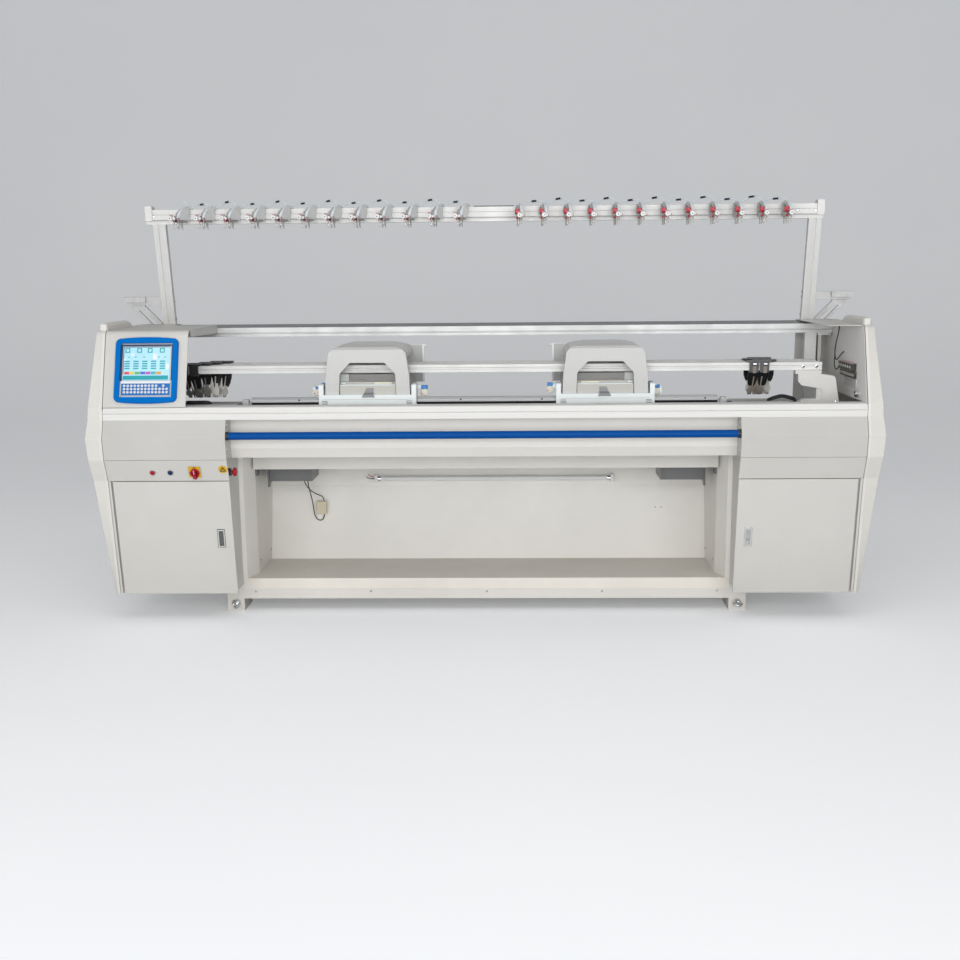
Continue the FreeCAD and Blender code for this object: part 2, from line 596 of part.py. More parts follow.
deep, pin_r, boss_r = float(d.hinge_deep), float(d.hinge_pin_r), float(d.hinge_boss_r)
ear_high, ear_wide = 6.0, 4.0
hinge_ears, hinge_bosses, hinge_bores, hinge_notches = [], [], [], []
for low in (float(d.hinge_low), float(d.hinge_high)):
    ear = Part.makeBox(2 * ear_wide, float(door_back) - deep + ear_wide + 0.5, ear_high,
                       FreeCAD.Vector(-ear_wide, deep - ear_wide, low))
    hinge_pin = Part.makeCylinder(pin_r, 24, FreeCAD.Vector(0, deep, low + 3))
    boss = Part.makeCylinder(boss_r, 18, FreeCAD.Vector(0, deep, low + ear_high + 0.5)).fuse(
        Part.makeBox(2 * boss_r, deep - 2, 18, FreeCAD.Vector(-boss_r, 2, low + ear_high + 0.5)))
    bore = Part.makeCylinder(pin_r + float(d.bush_fit), 30, FreeCAD.Vector(0, deep, low + 2))
    notch = Part.makeBox(boss_r + 1, float(door_back) - deep + 7, ear_high + 1.5,
                         FreeCAD.Vector(1, deep - 7, low - 1))
    hinge_ears.append(turned("hinge_ear%d" % low, ear.fuse(hinge_pin), HINGE))
    hinge_bosses.append(turned("hinge_boss%d" % low, boss, HINGE))
    hinge_bores.append(turned("hinge_bore%d" % low, bore, HINGE))
    hinge_notches.append(turned("hinge_notch%d" % low, notch, HINGE))
door_open = prism("cabinet_door_opening", "YZ", [
    (-d.cab_low_y - 20, d.cab_low_z + frame_reveal), (-d.door_top_y - 20, d.door_top_z - frame_reveal),
    (-d.door_top_y + 60, d.door_top_z - frame_reveal), (-d.cab_low_y + 60, d.cab_low_z + frame_reveal)],
    d.post_x + frame_reveal, d.door_out_x - frame_reveal)
lip_shape = prism("cabinet_strip_lip", "YZ", [
    (-d.door_top_y, d.door_top_z), (-d.door_top_y + t + 1, d.door_top_z),
    (-d.joint_y + t + 1, d.joint_z), (-d.joint_y, d.joint_z)], d.apron_in_x, d.post_x)
# Brackets on the cabinet's floor and rear wall reach out to the end panel.
end_low = box("end_bracket_low", d.door_out_x, d.seam_x - d.gap, -60, 60, d.cab_low_z + t,
              d.cab_low_z + t + 20)
end_high = box("end_bracket_high", d.door_out_x, d.seam_x - d.gap, d.rear_y - 40, d.rear_y - t,
               d.cab_top_z - 120, d.cab_top_z - 60)
cabinet_shell = fuse("cabinet_shell", end_low, end_high, cut("cabinet_cut", cab_outer, cab_inner, wall_cut, floor_cut,
                                          door_open), lip_shape, *hinge_ears)

# The control strip's local frame: its face leans out over the operator's knees.
strip_dy, strip_dz = d.joint_y - d.door_top_y, d.joint_z - d.door_top_z
strip_tilt = math.degrees(math.atan2(float(strip_dy), float(strip_dz)))
STRIP_TURN = FreeCAD.Rotation(FreeCAD.Vector(1, 0, 0), 90 + strip_tilt)


def on_strip(x, lift=0.0):
    """The placement of a control on the strip, its own +Z pointing out of the face."""
    share = (float(d.control_z) - float(d.door_top_z)) / float(strip_dz)
    foot = FreeCAD.Vector(float(x), -(float(d.door_top_y) + share * float(strip_dy)), float(d.control_z))
    return FreeCAD.Placement(foot + STRIP_TURN.multVec(FreeCAD.Vector(0, 0, lift)), STRIP_TURN)


def disc(radius, low, high, bore=0.0):
    ring = Part.makeCylinder(float(radius), high - low, FreeCAD.Vector(0, 0, low))
    return ring.cut(Part.makeCylinder(bore, high - low, FreeCAD.Vector(0, 0, low))) if bore else ring


sleeve_r = float(d.button_r) + 1.8
left_shell = mirror(cabinet_shell)
holes = [turned("red_hole", disc(sleeve_r + 0.1, -12, 12), on_strip(-d.red_x)),
         turned("blue_hole", disc(sleeve_r + 0.1, -12, 12), on_strip(-d.blue_x)),
         turned("switch_hole", disc(6, -12, 12), on_strip(-d.switch_x))]
stop_hole = rod("stop_hole", "X", -d.post_x - 5, -d.stop_y, d.stop_z, 9, 10)
node("left_cabinet", cut("left_cabinet", left_shell, *(holes + [stop_hole])))
right_copy = doc.addObject("Part::Compound", "right_cabinet")
right_copy.Links = [cabinet_shell]
node("right_cabinet", right_copy)

door_front = [(-d.cab_low_y, d.cab_low_z), (-d.door_top_y, d.door_top_z - d.door_head)]
door_pan = prism("door_pan", "YZ", door_front + [
    (-d.door_top_y + d.door_deep, d.door_top_z - d.door_head),
    (-d.cab_low_y + d.door_deep, d.cab_low_z)], d.door_in_x, d.door_out_x)
door_hollow = prism("door_hollow", "YZ", [
    (-d.cab_low_y + t, d.cab_low_z + t), (-d.door_top_y + t, d.door_top_z - d.door_head - t),
    (-d.door_top_y + d.door_deep + 5, d.door_top_z - d.door_head - t),
    (-d.cab_low_y + d.door_deep + 5, d.cab_low_z + t)], d.door_in_x + t, d.door_out_x - t)
# The latch: a flush case let into the door, with a paddle that swings out.
latch_x0, latch_x1 = d.door_in_x + d.latch_in, d.door_in_x + d.latch_in + d.latch_wide
latch_z0, latch_z1 = d.latch_low_z, d.latch_low_z + d.latch_high


def door_y(z):
    return -(d.cab_low_y + (z - d.cab_low_z) * lean)


latch_hole = box("latch_hole", latch_x0, latch_x1, door_y(latch_z1) - 10, door_y(latch_z0) + 25,
                 latch_z0, latch_z1)
door = cut("door_cut", fuse("door_bossed", cut("door_shell", door_pan, door_hollow, latch_hole,
                                               *hinge_notches), *hinge_bosses), *hinge_bores)
latch_case = prism("latch_case", "YZ", [
    (door_y(latch_z0) - 2, latch_z0 + d.gap), (door_y(latch_z1) - 2, latch_z1 - d.gap),
    (door_y(latch_z1) + 14, latch_z1 - d.gap), (door_y(latch_z0) + 14, latch_z0 + d.gap)],
    latch_x0 + d.gap, latch_x1 - d.gap)
latch_pocket = prism("latch_pocket", "YZ", [
    (door_y(latch_z0 + 6) - 8, latch_z0 + 6), (door_y(latch_z1 - 6) - 8, latch_z1 - 6),
    (door_y(latch_z1 - 6) + 8, latch_z1 - 6), (door_y(latch_z0 + 6) + 8, latch_z0 + 6)],
    latch_x0 + d.latch_wall, latch_x1 - d.latch_wall)
pin_z = latch_z1 - 12
pin_y = door_y(pin_z) + 3.2
pin_bore = rod("latch_bore", "X", latch_x0 + d.gap, pin_y, pin_z, d.latch_pin_r + d.bush_fit,
               d.latch_wide - 2 * d.gap)
case = cut("latch_case_cut", latch_case, latch_pocket, pin_bore)
paddle_plate = prism("latch_plate", "YZ", [
    (door_y(latch_z0 + 30), latch_z0 + 30), (door_y(latch_z1 - 8.5), latch_z1 - 8.5),
    (door_y(latch_z1 - 8.5) + 6, latch_z1 - 8.5), (door_y(latch_z0 + 30) + 5, latch_z0 + 30)],
    latch_x0 + d.latch_wall + d.gap, latch_x1 - d.latch_wall - d.gap)
latch_pin = rod("latch_pin", "X", latch_x0 + 1.5, pin_y, pin_z, d.latch_pin_r, d.latch_wide - 3)
paddle = fuse("latch_paddle", paddle_plate, latch_pin)
print("latch pin at", round(float(pin_y), 3), round(float(pin_z), 3))
left_case = mirror(case)
left_paddle = mirror(paddle)
node("left_door", group("left_door", mirror(door), left_case))
node("right_door", group("right_door", door, case))
node("left_latch", left_paddle)
right_latch = doc.addObject("Part::Compound", "right_latch")
right_latch.Links = [paddle]
node("right_latch", right_latch)

# Aprons: a folded front with its crease foremost, closed towards the bay by a cheek.
apron_skin = prism("apron_skin", "YZ", [
    (-d.joint_y, d.joint_z + 1), (-d.front_y, d.crease_z), (-d.ledge_low_y, d.ledge_low_z),
    (-d.ledge_low_y + 30, d.ledge_low_z), (-d.ledge_low_y + 30, d.ledge_low_z - t),
    (-d.ledge_low_y + t, d.ledge_low_z - t), (-d.front_y + t + 0.2, d.crease_z),
    (-d.joint_y + t, d.joint_z + 1)], d.apron_in_x, d.seam_x - d.seam_gap)
apron_cheek = prism("apron_cheek", "YZ", [
    (-d.joint_y, d.joint_z + 1), (-d.front_y, d.crease_z), (-d.ledge_low_y, d.ledge_low_z),
    (-d.panel_y, d.ledge_low_z), (-d.panel_y, d.joint_z + 1)], d.apron_in_x, d.apron_in_x + t)
apron_wall = box("apron_wall", d.apron_in_x, d.apron_in_x + t, -d.panel_y - 1, -d.beam_y,
                 d.joint_z + 1, d.ledge_low_z)
both("aprons", fuse("apron", apron_skin, apron_cheek, apron_wall))

# Centre panels behind the bar: a flat one and a creased one with a deep return.
recess = box("recess_panel", -d.apron_in_x + d.gap, d.apron_in_x - d.gap, -d.panel_y,
             -d.panel_y + t, d.panel_mid_z, d.ledge_low_z)
lower = prism("lower_panel", "YZ", [
    (-d.panel_y - 4, d.panel_mid_z), (-d.panel_y - d.panel_bulge, d.panel_crease_z),
    (-d.panel_y, d.panel_low_z), (-d.beam_y, d.panel_low_z), (-d.beam_y, d.panel_low_z + 20),
    (-d.beam_y - t, d.panel_low_z + 20), (-d.beam_y - t, d.panel_low_z + t),
    (-d.panel_y + t, d.panel_low_z + t), (-d.panel_y - d.panel_bulge + t + 1, d.panel_crease_z),
    (-d.panel_y - 4 + t, d.panel_mid_z - t), (-d.panel_y + t, d.panel_mid_z - t),
    (-d.panel_y + t, d.panel_mid_z)], -d.apron_in_x + d.gap, d.apron_in_x - d.gap)
node("front_panels", group("front_panels", recess, lower, cross))

w = d.ledge_wall
ledge_outer = prism("ledge_outer", "YZ", [
    (-d.ledge_low_y, d.ledge_low_z), (-d.ledge_low_y - 3, d.ledge_nose_z),
    (-d.ledge_low_y + 9, d.ledge_top_z - 3), (-d.ledge_low_y + 16, d.ledge_top_z),
    (-d.ledge_back_y, d.ledge_top_z), (-d.ledge_back_y, d.ledge_low_z)],
    -d.seam_x + d.seam_gap, d.seam_x - d.seam_gap)
ledge_inner = box("ledge_inner", -d.seam_x, d.seam_x, -d.ledge_low_y + 20, -d.ledge_back_y - w,
                  d.ledge_low_z + w, d.ledge_top_z - w)
ledge_groove = box("ledge_groove", -d.seam_x, d.seam_x, -d.ledge_low_y - 5, -d.ledge_low_y + 2.5,
                   d.ledge_nose_z - 2, d.ledge_nose_z + 1)
node("ledge", cut("ledge", ledge_outer, ledge_inner, ledge_groove))


# End panels: lofted shells whose front facet turns the corner and whose side leans in.
def front_line(z):
    """How far the casing's front stands forward at a height."""
    knots = [(d.cab_low_z, d.cab_low_y), (d.door_top_z, d.door_top_y), (d.joint_z, d.joint_y),
             (d.crease_z, d.front_y), (d.ledge_low_z, d.ledge_low_y),
             (d.ledge_top_z, d.ledge_low_y - 4)] + [(z, -y) for y, z in cheek_bend]
    for (z0, y0), (z1, y1) in zip(knots, knots[1:]):
        if z <= z1:
            return float(y0) + (float(z) - float(z0)) / (float(z1) - float(z0)) * (float(y1) - float(y0))
    return float(knots[-1][1])


def casing_bend(low_y, high_y, high_z, wall=0.0):
    """Points of the casing's sloping front and top bend, `wall` inside the outer face."""
    rise = math.atan2(float(low_y) - float(high_y), float(high_z) - float(d.ledge_top_z))
    radius = float(d.casing_round)
    centre_z = float(d.casing_top_z) - radius
    bend_z = centre_z + radius * math.sin(rise)
    bend_y = -float(low_y) + (bend_z - float(d.ledge_top_z)) * math.tan(rise)
    centre_y = bend_y + radius * math.cos(rise)
    turns = [rise + (math.pi / 2 - rise) * k / 4 for k in range(5)]
    return [(centre_y - (radius - wall) * math.cos(a), centre_z + (radius - wall) * math.sin(a))
            for a in turns]


def side_line(z):
    """The half length of the machine at a height."""
    knots = [(d.cab_low_z, d.low_out_x), (d.door_top_z, d.mid_out_x), (d.crease_z, d.crease_x),
             (d.casing_top_z, d.top_out_x)]
    for (z0, x0), (z1, x1) in zip(knots, knots[1:]):
        if z <= z1:
            return float(x0) + (float(z) - float(z0)) / (float(z1) - float(z0)) * (float(x1) - float(x0))
    return float(knots[-1][1])


def cheek_solid(levels, wall):
    """A stack of ruled slabs between the levels, `wall` inside the outer face."""
    slabs = []
    rings = []
    for z in levels:
        yf, xo = -front_line(z) + wall, side_line(z) - wall
        xi, yr = float(d.seam_x) - wall, float(d.rear_y) - wall
        ring = [(xi, yf), (xi + 12, yf), (xo, yf + float(d.corner_y)), (xo, yr - 15), (xo - 15, yr),
                (xi, yr)]
        rings.append(Part.makePolygon([FreeCAD.Vector(x, y, float(z)) for x, y in ring + ring[:1]]))
    for low, high in zip(rings, rings[1:]):
        slabs.append(Part.makeLoft([low, high], True, True))
    solid = slabs[0]
    for slab in slabs[1:]:
        solid = solid.fuse(slab)
    return solid.removeSplitter()


cheek_bend = casing_bend(d.ledge_low_y - 4, d.casing_top_y, d.casing_top_z)
levels = [d.cab_low_z, d.door_top_z, d.joint_z, d.crease_z, d.ledge_low_z, d.ledge_top_z] + [
    z for y, z in cheek_bend]
inner_levels = [d.cab_low_z + t] + levels[1:-1] + [d.casing_top_z - t]
cheek = doc.addObject("Part::Feature", "end_cheek")
cheek.Shape = cheek_solid(levels, 0.0).cut(cheek_solid(inner_levels, float(t)))
end_cap = prism("end_cap", "YZ", [
    (-d.casing_top_y + 30, d.casing_top_z), (-d.casing_top_y + 30, d.casing_top_z + d.cap_high),
    (d.cap_back_y - 70, d.casing_top_z + d.cap_high), (d.cap_back_y, d.casing_top_z)],
    d.cap_in_x + 5, d.top_out_x - 4)


def rounded(name, source, radius, pick):
    """Fillets on the edges whose direction and middle pass a test."""
    doc.recompute()
    obj = doc.addObject("Part::Fillet", name)
    obj.Base = source
    chosen = []
    for i, edge in enumerate(source.Shape.Edges, start=1):
        if pick(edge.CenterOfMass, edge.tangentAt(edge.FirstParameter)):
            chosen.append((i, float(radius), float(radius)))
    obj.Edges = chosen
    return obj


cap_round = rounded("end_cap_round", end_cap, 14,
                    lambda c, v: c.z > float(d.casing_top_z) + float(d.cap_high) - 1 or abs(v.z) > 0.9)
both("end_panels", group("end_panel", cheek, cap_round))

# Upper casings.  The left one has a sloping front; the right one is open in front and
# shows its lined side.
post_slot = box("post_slot", d.stand_x - 3, d.stand_x + d.stand_wide + 3, d.rear_y - 44,
                d.rear_y - t, d.casing_top_z - t - 1, d.casing_top_z + 1)
def hood_bend(wall):
    return casing_bend(d.ledge_low_y - 6, d.casing_top_y, d.casing_top_z - 8, wall)


left_hood = prism("left_hood", "YZ", [
    (-d.ledge_low_y + 6, d.ledge_top_z)] + hood_bend(0.0) + [
    (d.rear_y, d.casing_top_z), (d.rear_y, d.cab_top_z), (d.rear_y - t, d.cab_top_z),
    (d.rear_y - t, d.casing_top_z - t)] + hood_bend(float(t))[::-1] + [
    (-d.ledge_low_y + 9.5, d.ledge_top_z)], -d.seam_x + d.seam_gap, -d.casing_in_x)
flange = prism("hood_flange", "YZ", [
    (-d.casing_top_y + 28, d.casing_top_z), (-d.casing_top_y + 56, d.casing_top_z - d.flange_tall + 8),
    (d.table_y - 6, d.casing_top_z - d.flange_tall), (d.table_y - 6, d.casing_top_z)],
    -d.casing_in_x - t, -d.casing_in_x)
# Behind the yarn table's front the left casing is as short as the right one.
hood_rear = box("hood_rear", -d.open_in_x, -d.casing_in_x + 1, d.table_y - 6, d.rear_y + 1,
                d.cab_top_z - 1, d.casing_top_z + 1)
node("left_upper_casing", cut("left_upper_casing", fuse("left_hood_flanged", left_hood, flange),
                              mirror(post_slot), hood_rear))
right_top = box("right_top", d.open_in_x, d.seam_x - d.seam_gap, -d.casing_top_y + 27, d.rear_y,
                d.casing_top_z - t, d.casing_top_z)
right_wall = box("right_wall", d.open_in_x, d.seam_x - d.seam_gap, d.rear_y - t, d.rear_y,
                 d.cab_top_z, d.casing_top_z)
lining_x = d.seam_x - d.seam_gap
right_lining = prism("right_lining", "YZ", [
    (-d.ledge_low_y + 9, d.ledge_top_z)] + [(y + 5, z) for y, z in cheek_bend] + [
    (d.rear_y, d.casing_top_z), (d.rear_y, d.ledge_top_z)], lining_x - t, lining_x)
table_gap = box("table_gap", lining_x - t - 1, lining_x + 1, d.table_y - 1, d.rear_y - t,
                d.table_low_z - 1, d.table_seat_z + 1)
node("right_upper_casing", cut("right_upper_casing",
                               fuse("right_hood", right_top, right_wall, right_lining),
                               post_slot, table_gap))

# Fittings on that side: two rows of plug blocks, a bare plate and a round bolt.
term = []
plug_z = d.ledge_top_z + d.plug_rise
plug_face = lining_x - t
for k in range(6):
    y0 = d.plug_pitch * k - d.plug_first_y
    term.append(box("plug%d" % k, plug_face - d.plug_deep, plug_face, y0, y0 + d.plug_long,
                    plug_z, plug_z + d.plug_tall))
term.append(box("plug_rail", plug_face - d.plug_deep * 0.46, plug_face, -d.plug_first_y - 10,
                d.plug_pitch * 6.3 - d.plug_first_y, plug_z - d.plug_tall, plug_z - 6))
term.append(box("bare_plate", plug_face - 4, plug_face, -d.plug_first_y - 20, 0,
                plug_z - d.plug_tall * 2.3, plug_z - d.plug_tall - 4))
term.append(rod("side_bolt", "X", plug_face - 14, -d.plug_first_y - 55, plug_z - d.plug_tall * 3, 14, 14))
node("plug_blocks", group("plug_blocks", *term))

# ------------------------------------------------------------------ control panel
panel_dy = float(d.ledge_low_y) - 6 - float(d.casing_top_y)
panel_dz = float(d.casing_top_z) - 8 - float(d.ledge_top_z)
PANEL_TURN = FreeCAD.Rotation(FreeCAD.Vector(1, 0, 0), 90 - math.degrees(math.atan2(panel_dy, panel_dz)))
panel_share = (float(d.bezel_z) - float(d.ledge_top_z)) / panel_dz
panel_foot = FreeCAD.Vector(-float(d.bezel_x),
                            -(float(d.ledge_low_y) - 6 - panel_share * panel_dy), float(d.bezel_z))
ON_PANEL = FreeCAD.Placement(panel_foot, PANEL_TURN)


def bulged(half_w, half_h, bulge, corner):
    """A rounded rectangle whose top and bottom edges rise in the middle."""
    p = [FreeCAD.Vector(x, y, 0) for x, y in (
        (-half_w, -half_h), (0, -half_h - bulge), (half_w, -half_h),
        (half_w, half_h), (0, half_h + bulge), (-half_w, half_h))]
    wire = Part.Wire([Part.Arc(p[0], p[1], p[2]).toShape(), Part.makeLine(p[2], p[3]),
                      Part.Arc(p[3], p[4], p[5]).toShape(), Part.makeLine(p[5], p[0])])
    solid = Part.Face(wire).extrude(FreeCAD.Vector(0, 0, 1))
    upright = [e for e in solid.Edges if len(e.Vertexes) == 2
               and abs(e.Vertexes[0].Z - e.Vertexes[1].Z) > 0.5]
    return solid.makeFillet(corner, upright)


def scaled_up(shape, thick):
    """The unit-thick plate stretched to its thickness."""
    matrix = FreeCAD.Matrix()
    matrix.scale(FreeCAD.Vector(1, 1, thick))
    return shape.transformGeometry(matrix)


frame_shape = scaled_up(bulged(float(d.bezel_wide) / 2, float(d.bezel_tall) / 2,
                               float(d.bezel_bulge), float(d.bezel_corner)), float(d.bezel_thick))
window_shape = Part.makeBox(float(d.screen_wide), float(d.screen_tall), 60,
                            FreeCAD.Vector(-float(d.screen_wide) / 2, -float(d.screen_tall) / 2, -20))
frame_edges = [e for e in frame_shape.Edges if all(abs(v.Z - float(d.bezel_thick)) < 0.01
                                                   for v in e.Vertexes)]
frame_shape = frame_shape.makeChamfer(5.0, frame_edges).cut(window_shape)
node("control_bezel", turned("control_bezel", frame_shape, ON_PANEL))
plate = Part.makeBox(float(d.screen_wide) - 0.6, float(d.screen_tall) - 0.6, 4,
                     FreeCAD.Vector(-float(d.screen_wide) / 2 + 0.3, -float(d.screen_tall) / 2 + 0.3, 0))
half_w, half_h, lip = float(d.screen_wide) / 2, float(d.screen_tall) / 2, float(d.screen_lip)
screen_low = half_h - 0.62 * float(d.screen_tall) - lip / 2
screen = Part.makeBox(2 * half_w - 4, half_h - 6 - screen_low, 3, FreeCAD.Vector(2 - half_w, screen_low, 4))
screen_hole = Part.makeBox(2 * half_w - 4 - 2 * lip, half_h - 6 - screen_low - 2 * lip, 3,
                           FreeCAD.Vector(2 - half_w + lip, screen_low + lip, 4))
keypad = Part.makeBox(2 * half_w - 16, screen_low - 14 + half_h - lip, 2,
                      FreeCAD.Vector(8 - half_w, lip - half_h, 4))
node("display_panel", turned("display_panel", plate.fuse([screen.cut(screen_hole), keypad]), ON_PANEL))

# ------------------------------------------------------------------ controls on the strip
def button_body(x, label):
    """A chrome ring with its sleeve and closed contact case behind the strip."""
    ring = disc(d.ring_r, 0.0, 4.0).fuse(disc(sleeve_r, -22.0, 0.0))
    return turned(label, ring.cut(disc(float(d.button_r) + float(d.gap), -20.0, 5.0)), on_strip(x))


collar = rod("stop_collar", "X", -d.post_x, -d.stop_y, d.stop_z, 16, 20)
collar_bore = rod("stop_bore", "X", -d.post_x - 20, -d.stop_y, d.stop_z, 8 + d.gap, 45)
collar_neck = rod("stop_neck", "X", -d.post_x - 16, -d.stop_y, d.stop_z, 8.9, 16)
stop_base = cut("stop_base", fuse("stop_sleeve", collar, collar_neck), collar_bore)
switch_plate = turned("switch_plate", Part.makeBox(58, 48, 3, FreeCAD.Vector(-29, -24, 0)).cut(
    disc(5.05, -1.0, 4.0)), on_strip(-d.switch_x))
node("control_rings", group("control_rings", button_body(-d.red_x, "red_ring"),
                            button_body(-d.blue_x, "blue_ring"), stop_base, switch_plate))


def button_cap(x, label):
    cap = disc(d.button_r, -15.0, 7.0)
    rim = [e for e in cap.Edges if abs(e.CenterOfMass.z - 7.0) < 0.01]
    return turned(label, cap.makeFillet(1.5, rim), on_strip(x))


node("red_button", button_cap(-d.red_x, "red_button"))
node("blue_button", button_cap(-d.blue_x, "blue_button"))
knob = disc(21, 3.3, 12.0).fuse(disc(5.0, -10.0, 3.3))
grip = Part.makeBox(13, 46, 16, FreeCAD.Vector(-6.5, -21, 8.0))
nose = Part.makeBox(15, 15, 9, FreeCAD.Vector(0, 0, 3.3))
nose.rotate(FreeCAD.Vector(0, 0, 0), FreeCAD.Vector(0, 0, 1), 45)
nose.translate(FreeCAD.Vector(0, -33, 0))
node("main_switch", turned("main_switch", knob.fuse([grip, nose]), on_strip(-d.switch_x)))
head_profile = [(0, 26), (14, 26), (20, 30), (20, 36), (17, 42), (0, 45)]
head_wire = Part.makePolygon([FreeCAD.Vector(x, r, 0) for r, x in head_profile + head_profile[:1]])
head = Part.Face(head_wire).revolve(FreeCAD.Vector(0, 0, 0), FreeCAD.Vector(1, 0, 0), 360)
stem = Part.makeCylinder(8, 40, FreeCAD.Vector(-14, 0, 0), FreeCAD.Vector(1, 0, 0))
stop = doc.addObject("Part::Feature", "stop_button")
stop.Shape = head.fuse(stem).removeSplitter()
stop.Placement = FreeCAD.Placement(FreeCAD.Vector(-float(d.post_x), -float(d.stop_y), float(d.stop_z)),
                                   FreeCAD.Rotation())
node("stop_button", stop)

# ------------------------------------------------------------------ start bar
bar = rod("start_bar", "X", -d.apron_in_x + 1, -d.bar_y, d.bar_z, d.bar_r, 2 * d.apron_in_x - 2)
node("start_bar", bar)
bush = cut("bush", rod("bush_outer", "X", d.apron_in_x - d.bush_long, -d.bar_y, d.bar_z,
                       d.bar_r + 3, d.bush_long),
           rod("bush_bore", "X", d.apron_in_x - d.bush_long - 1, -d.bar_y, d.bar_z,
               d.bar_r + d.bush_fit, d.bush_long + 2))
both("bar_bushes", bush)

# ------------------------------------------------------------------ yarn table and rails
table = prism("table", "YZ", [
    (d.table_y, d.table_low_z), (d.table_y, d.table_low_z + 13), (d.table_y + 4, d.table_low_z + 14),
    (d.table_y + 4, d.table_low_z + 18), (d.table_y, d.table_low_z + 19), (d.table_y, d.table_z),
    (d.table_y + 112, d.table_seat_z), (d.rear_y - t, d.table_seat_z),
    (d.rear_y - t, d.table_seat_z - 6), (d.table_y + 112, d.table_seat_z - 6),
    (d.table_y + 45, d.table_z - 2), (d.table_y + 45, d.table_low_z)], -d.table_x, d.table_x)
column = prism("table_column", "YZ", [
    (d.beam_y - 60, d.beam_top_z), (d.beam_y, d.beam_top_z), (d.table_y + 45, 1120),
    (d.table_y + 45, d.table_low_z), (d.table_y, d.table_low_z), (d.table_y, 1130)],
    d.column_x, d.column_x + d.column_wide)
lug = box("table_lug", d.bracket_out_x - 30, d.table_x - 8, d.table_y + 2, d.table_y + 40,
          d.table_low_z - 12, d.table_low_z)
node("yarn_table", group("yarn_table", table, column, mirror(column), lug))

yarn_low = d.yarn_top_z - d.yarn_high
rail_list = []
rail_centres = [d.yarn_pitch * (k - 1.5) for k in range(4)]
hw = d.yarn_wide / 2
for k, yc in enumerate(rail_centres):
    rail_list.append(prism("yarn_rail_%d" % k, "YZ", [
        (yc - hw, yarn_low), (yc - hw, yarn_low + 13), (yc - hw + 3, yarn_low + 14.5),
        (yc - hw + 3, yarn_low + 20.5), (yc - hw, yarn_low + 22), (yc - hw, d.yarn_top_z),
        (yc + hw, d.yarn_top_z), (yc + hw, yarn_low + 22), (yc + hw - 3, yarn_low + 20.5),
        (yc + hw - 3, yarn_low + 14.5), (yc + hw, yarn_low + 13), (yc + hw, yarn_low)],
        -d.yarn_x, d.yarn_x))
node("yarn_rails", group("yarn_rails", *rail_list))

# The cast bracket under the rail ends: an arm above, a foot below, open towards the bed.
b0, b1 = d.bracket_in_x, d.bracket_out_x
bracket_front = prism("bracket_front", "XZ", [
    (b0, yarn_low), (b0, yarn_low - 15), (b0 + 13, yarn_low - 17), (b0 + 14, yarn_low - 51),
    (b0 + 30, yarn_low - 68), (b0 + 116, yarn_low - 84), (b0 + 127, yarn_low - 95),
    (b0 + 121, d.low_rail_z + 21), (b0 + 36, d.low_rail_z + 20), (b0 + 21, d.low_rail_z + 5),
    (b0 + 21, d.beam_top_z), (b1, d.beam_top_z), (b1, d.low_rail_z + 4), (b1 - 20, yarn_low - 37),
    (b1 - 28, yarn_low - 26), (b1 - 86, yarn_low - 17), (b1 - 86, yarn_low)],
    -d.bracket_y, -d.bracket_y + d.bracket_plate)
bracket_seat = box("bracket_seat", b0 + 60, b1 - 86, -d.bracket_y, d.bracket_y, yarn_low - 28, yarn_low)
bracket_column = box("bracket_column", b0 + 100, b1 - 30, -d.bracket_y + 5, d.bracket_y, d.beam_top_z,
                     yarn_low - 26)
bracket = fuse("rail_bracket", bracket_front, bracket_seat, bracket_column)
both("rail_brackets", bracket)

# ------------------------------------------------------------------ yarn stand
stand_rise = d.stand_low_z - d.table_seat_z
post = prism("stand_post", "YZ", [
    (d.rear_y - 5 - d.stand_deep, d.table_seat_z), (d.rear_y - 5, d.table_seat_z),
    (d.rear_y - 5 - d.stand_lean, d.stand_low_z),
    (d.rear_y - 5 - d.stand_deep - d.stand_lean, d.stand_low_z)],
    d.stand_x, d.stand_x + d.stand_wide)
groove = prism("stand_groove", "YZ", [
    (d.rear_y - 7 - d.stand_deep, d.table_seat_z - 1), (d.rear_y - 1 - d.stand_deep, d.table_seat_z - 1),
    (d.rear_y - 1 - d.stand_deep - d.stand_lean, d.stand_low_z + 1),
    (d.rear_y - 7 - d.stand_deep - d.stand_lean, d.stand_low_z + 1)],
    d.stand_x + 25, d.stand_x + 37)
post_cut = cut("stand_post_cut", post, groove)
bf, bd = d.beam_front_y, d.beam_deep
beam_x0, beam_x1 = -d.stand_beam_x - d.beam_shift, d.stand_beam_x - d.beam_shift
stand_beam = prism("stand_beam", "YZ", [
    (bf + d.beam_step, d.stand_low_z), (bf + d.beam_step, d.stand_mid_z), (bf, d.stand_mid_z),
    (bf, d.stand_rib_z), (bf + d.rib_step, d.stand_rib_z), (bf + d.rib_step, d.stand_top_z),
    (bf + bd - d.rib_step, d.stand_top_z), (bf + bd - d.rib_step, d.stand_rib_z),
    (bf + bd, d.stand_rib_z), (bf + bd, d.stand_mid_z), (bf + bd - d.beam_step, d.stand_mid_z),
    (bf + bd - d.beam_step, d.stand_low_z)], beam_x0, beam_x1)
caps = []
for tag, x0, x1 in (("left", beam_x0 - 2, beam_x0 + d.cap_wide), ("right", beam_x1 - d.cap_wide, beam_x1 + 2)):
    caps.append(rounded("beam_cap_" + tag, box("beam_cap_block_" + tag, x0, x1, bf - 3, bf + bd + 3,
                                               d.stand_mid_z - 2, d.stand_top_z + d.cap_rise), 8,
                        lambda c, v: abs(v.y) > 0.9))
node("yarn_stand", group("yarn_stand", post_cut, mirror(post_cut), fuse("beam_whole", stand_beam, *caps)))


